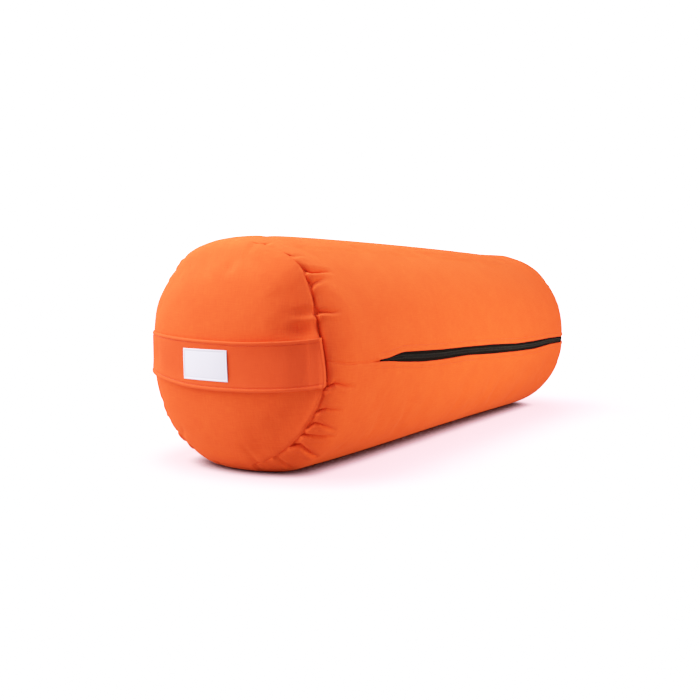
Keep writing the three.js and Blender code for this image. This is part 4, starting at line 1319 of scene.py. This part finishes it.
orange_thread = small_finish("orange_thread", "#c8371a", 0.6, 0.15, twist, 0.3, 0.1 * MM)
dress(strap_stitches, orange_thread)
dress(zip_stitches, orange_thread)
dress(label_stitches, small_finish("white_thread", "#c4c0d4", 0.6, 0.15, twist, 0.3, 0.1 * MM))
dress(label, small_finish("woven_satin_label", "#c9c5dc", 0.55, 0.2,
                          lambda tree: ribs(tree, "Y", 420), 0.2, 0.2 * MM))
tape_cloth = small_finish("woven_polyester_tape", "#0d0707", 0.85, 0.015,
                          lambda tree: ribs(tree, "X", 300), 0.5, 0.3 * MM)
dress(upper_tape, tape_cloth)
dress(lower_tape, tape_cloth)
dress(coil, small_finish("drawn_nylon_coil", "#0f090a", 0.5, 0.075))

# %% [markdown]
# ## Floor and light
# The cushion lies on white paper in a white studio. A wide light hangs overhead and a strong one stands
# behind it on the left, so the near end panel is brightest at the back and darkest beside the front seam.
# Suns with a wide angle stand for both, because they light the whole floor evenly. A low softbox in front
# lights the side with the zip, and a small one above the near end lights its shoulder. The paper has a
# painted glow that only the camera sees, which keeps it white and its shadows pale pink. The glow is painted
# a little weaker beside the cushion and out under it, as painted shadows, and there the paper's colour is
# painted darker too, warm red-brown under the edge. That keeps the shadow as pale as in the photograph, and
# the cushion gets only an even part of this glow as light.

# %% Floor, lights and room
FLOOR_RADIUS = 40
FLOOR_DROP = 0.2 * MM  # keeps the paper clear of the cloth that lies on it
bpy.ops.object.select_all(action="DESELECT")
bpy.ops.mesh.primitive_circle_add(vertices=96, radius=FLOOR_RADIUS, fill_type="NGON",
                                  location=(0, 0, -FLOOR_DROP))
floor = bpy.context.object
floor.name = "floor"
paper, tree = new_finish("white_paper")
PAINTED_FLOOR_GLOW = (3.0, 1.55, 1.8)   # painted glow that only the camera sees: it keeps the paper white and paints pale pink light into its shadows
FLOOR_BOUNCE = (0.8, 0.75, 0.7)  # what the cushion gets of that light
PAINTED_CONTACT_SHADOW_REACH = 18 * MM          # how far from the cushion the glow is held back, which paints a dark contact shadow
PAINTED_SOFT_SHADOW_REACH = 110 * MM           # how far from it the glow is a little weaker, which paints a soft shadow
GLOW_IN_PAINTED_SOFT_SHADOW = 0.87                # share of the glow left right beside the cushion, in the painted soft shadow


def open_share(tree, reach, low, high, to_low):
    """A share from to_low to 1 for how open the floor is to the air above it, within a reach."""
    air = add_node(tree, "ShaderNodeAmbientOcclusion", {"Distance": reach}, samples=8)
    share = add_node(tree, "ShaderNodeMapRange", {
        "Value": air.outputs["AO"], "From Min": low, "From Max": high, "To Min": to_low})
    return share.outputs["Result"]


seen = add_node(tree, "ShaderNodeLightPath").outputs["Is Camera Ray"]
# painted shadows: these shares hold back the glow and darken the paper's colour where the cushion hides the
# floor from the air
clear = open_share(tree, PAINTED_CONTACT_SHADOW_REACH, 0.15, 0.8, 0)
paper_past_painted_contact_shadow = open_share(tree, PAINTED_CONTACT_SHADOW_REACH, 0.1, 0.6, 0)
glow_past_painted_soft_shadow = open_share(tree, PAINTED_SOFT_SHADOW_REACH, 0.55, 1, GLOW_IN_PAINTED_SOFT_SHADOW)
paper_past_painted_soft_shadow = open_share(tree, PAINTED_SOFT_SHADOW_REACH, 0.5, 1, 0)
paper_colour = linear("#bcbcbe")
# the paper painted darker beside the cushion as a painted soft shadow, the paper as the cushion gets its
# light, and a warm painted contact shadow under its edge
for share, hex_colour in ((paper_past_painted_soft_shadow, "#7a7a80"), (seen, "#8e8e90"), (paper_past_painted_contact_shadow, "#5c2a22")):
    mix = add_node(tree, "ShaderNodeMix", {
        "Factor": share, 6: linear(hex_colour), 7: paper_colour}, data_type="RGBA")
    paper_colour = mix.outputs[2]
glow_colour = add_node(tree, "ShaderNodeMix", {
    "Factor": seen, 6: (*FLOOR_BOUNCE, 1.0), 7: (*PAINTED_FLOOR_GLOW, 1.0)}, data_type="RGBA")
# the glow with its painted contact shadow and painted soft shadow
glow = add_node(tree, "ShaderNodeMath", {0: clear, 1: glow_past_painted_soft_shadow}, operation="MULTIPLY")
shader = add_node(tree, "ShaderNodeBsdfPrincipled", {
    "Base Color": paper_colour, "Roughness": 0.9, "Specular IOR Level": 0.0,
    "Emission Color": glow_colour.outputs[2], "Emission Strength": glow.outputs[0]})
add_node(tree, "ShaderNodeOutputMaterial", {"Surface": shader.outputs["BSDF"]})
dress(floor, paper)

SoftLight = namedtuple("SoftLight", "name azimuth elevation light spread")
# azimuth in degrees: 0 is in front of the zip, 90 past the far end, 180 behind
# light: red, green and blue of a white card facing it; spread: how wide the light looks, in degrees
SOFT_LIGHTS = [
    SoftLight("overhead_light", 0, 70, (1.3, 1.4, 1.8), 60),
    SoftLight("back_light", 207, 28, (4.6, 4.4, 4.0), 60),
]


def hang_light(name, kind, back, light, power):
    """Adds a light that shines from the direction back. Power is what lights a white card to 1."""
    lamp = bpy.data.objects.new(name, bpy.data.lights.new(name, kind))
    lamp.data.energy = max(light) * power
    lamp.data.color = [channel / max(light) for channel in light]
    lamp.rotation_mode = "QUATERNION"
    lamp.rotation_quaternion = back.to_track_quat("Z", "Y")
    scene.collection.objects.link(lamp)
    return lamp


for name, azimuth, elevation, light, spread in SOFT_LIGHTS:
    across, up = math.radians(azimuth), math.radians(elevation)
    back = Vector((math.sin(across) * math.cos(up), -math.cos(across) * math.cos(up), math.sin(up)))
    sun = hang_light(name, "SUN", back, light, math.pi)
    sun.data.angle = math.radians(spread)

Softbox = namedtuple("Softbox", "name place size light")  # place and size in mm; light: at the aim, as above
SOFTBOXES = [
    Softbox("front_softbox", (50, -560, 70), 200, (2.15, 2.1, 1.3)),
    Softbox("top_softbox", (-350, 100, 800), 300, (2.0, 2.5, 2.1)),
]
SOFTBOX_AIM = Vector((0, 0, 110)) * MM
for name, place, size, light in SOFTBOXES:
    back = Vector(place) * MM - SOFTBOX_AIM
    softbox = hang_light(name, "AREA", back, light, (math.pi * back.length) ** 2)
    softbox.data.size = size * MM
    softbox.location = SOFTBOX_AIM + back
    softbox.visible_camera = False

ROOM_LIGHT = 0.1
ROOM_SEEN = 4.6
world = bpy.data.worlds.new("white_room")
scene.world = world
world.use_nodes = True
tree = world.node_tree
tree.nodes.clear()
ray = add_node(tree, "ShaderNodeLightPath")
strength = add_node(tree, "ShaderNodeMapRange", {
    "Value": ray.outputs["Is Camera Ray"], "To Min": ROOM_LIGHT, "To Max": ROOM_SEEN})
background = add_node(tree, "ShaderNodeBackground", {
    "Color": linear("#fffdff"), "Strength": strength.outputs["Result"]})
add_node(tree, "ShaderNodeOutputWorld", {"Surface": background.outputs["Background"]})

# %% [markdown]
# ## The tone of the picture
# A studio photograph is exposed so that its background is nearly white. Bright colours then run out gently,
# as film does: what is shown is one minus a falling exponential of the light. That curve is drawn here with
# a few points over four times the range of white, on top of the plain Standard view.

# %% Exposure and tone curve
WHITE_LEVEL = 5.0
view = scene.view_settings
view.view_transform = "Standard"
view.look = "None"
view.exposure = 0
view.gamma = 1
view.use_curve_mapping = True
mapping = view.curve_mapping
mapping.black_level = (0, 0, 0)
mapping.white_level = (WHITE_LEVEL, WHITE_LEVEL, WHITE_LEVEL)
tone = mapping.curves[3]
CURVE_PLACES = [0.015, 0.035, 0.065, 0.1, 0.15, 0.21, 0.28, 0.36, 0.44, 0.5, 0.56, 0.63, 0.75]
WHITE_RUNS_OUT = 2.8  # the light at which the curve bends over to full white


def shown(light):
    """The brightness that the picture shows for an amount of light."""
    return 1 - math.exp(-light - (light / WHITE_RUNS_OUT) ** 8)


tone.points[0].location = (0, 0)
tone.points[1].location = (1, 1)
for place in CURVE_PLACES:
    tone.points.new(place, shown(place * WHITE_LEVEL))
mapping.update()
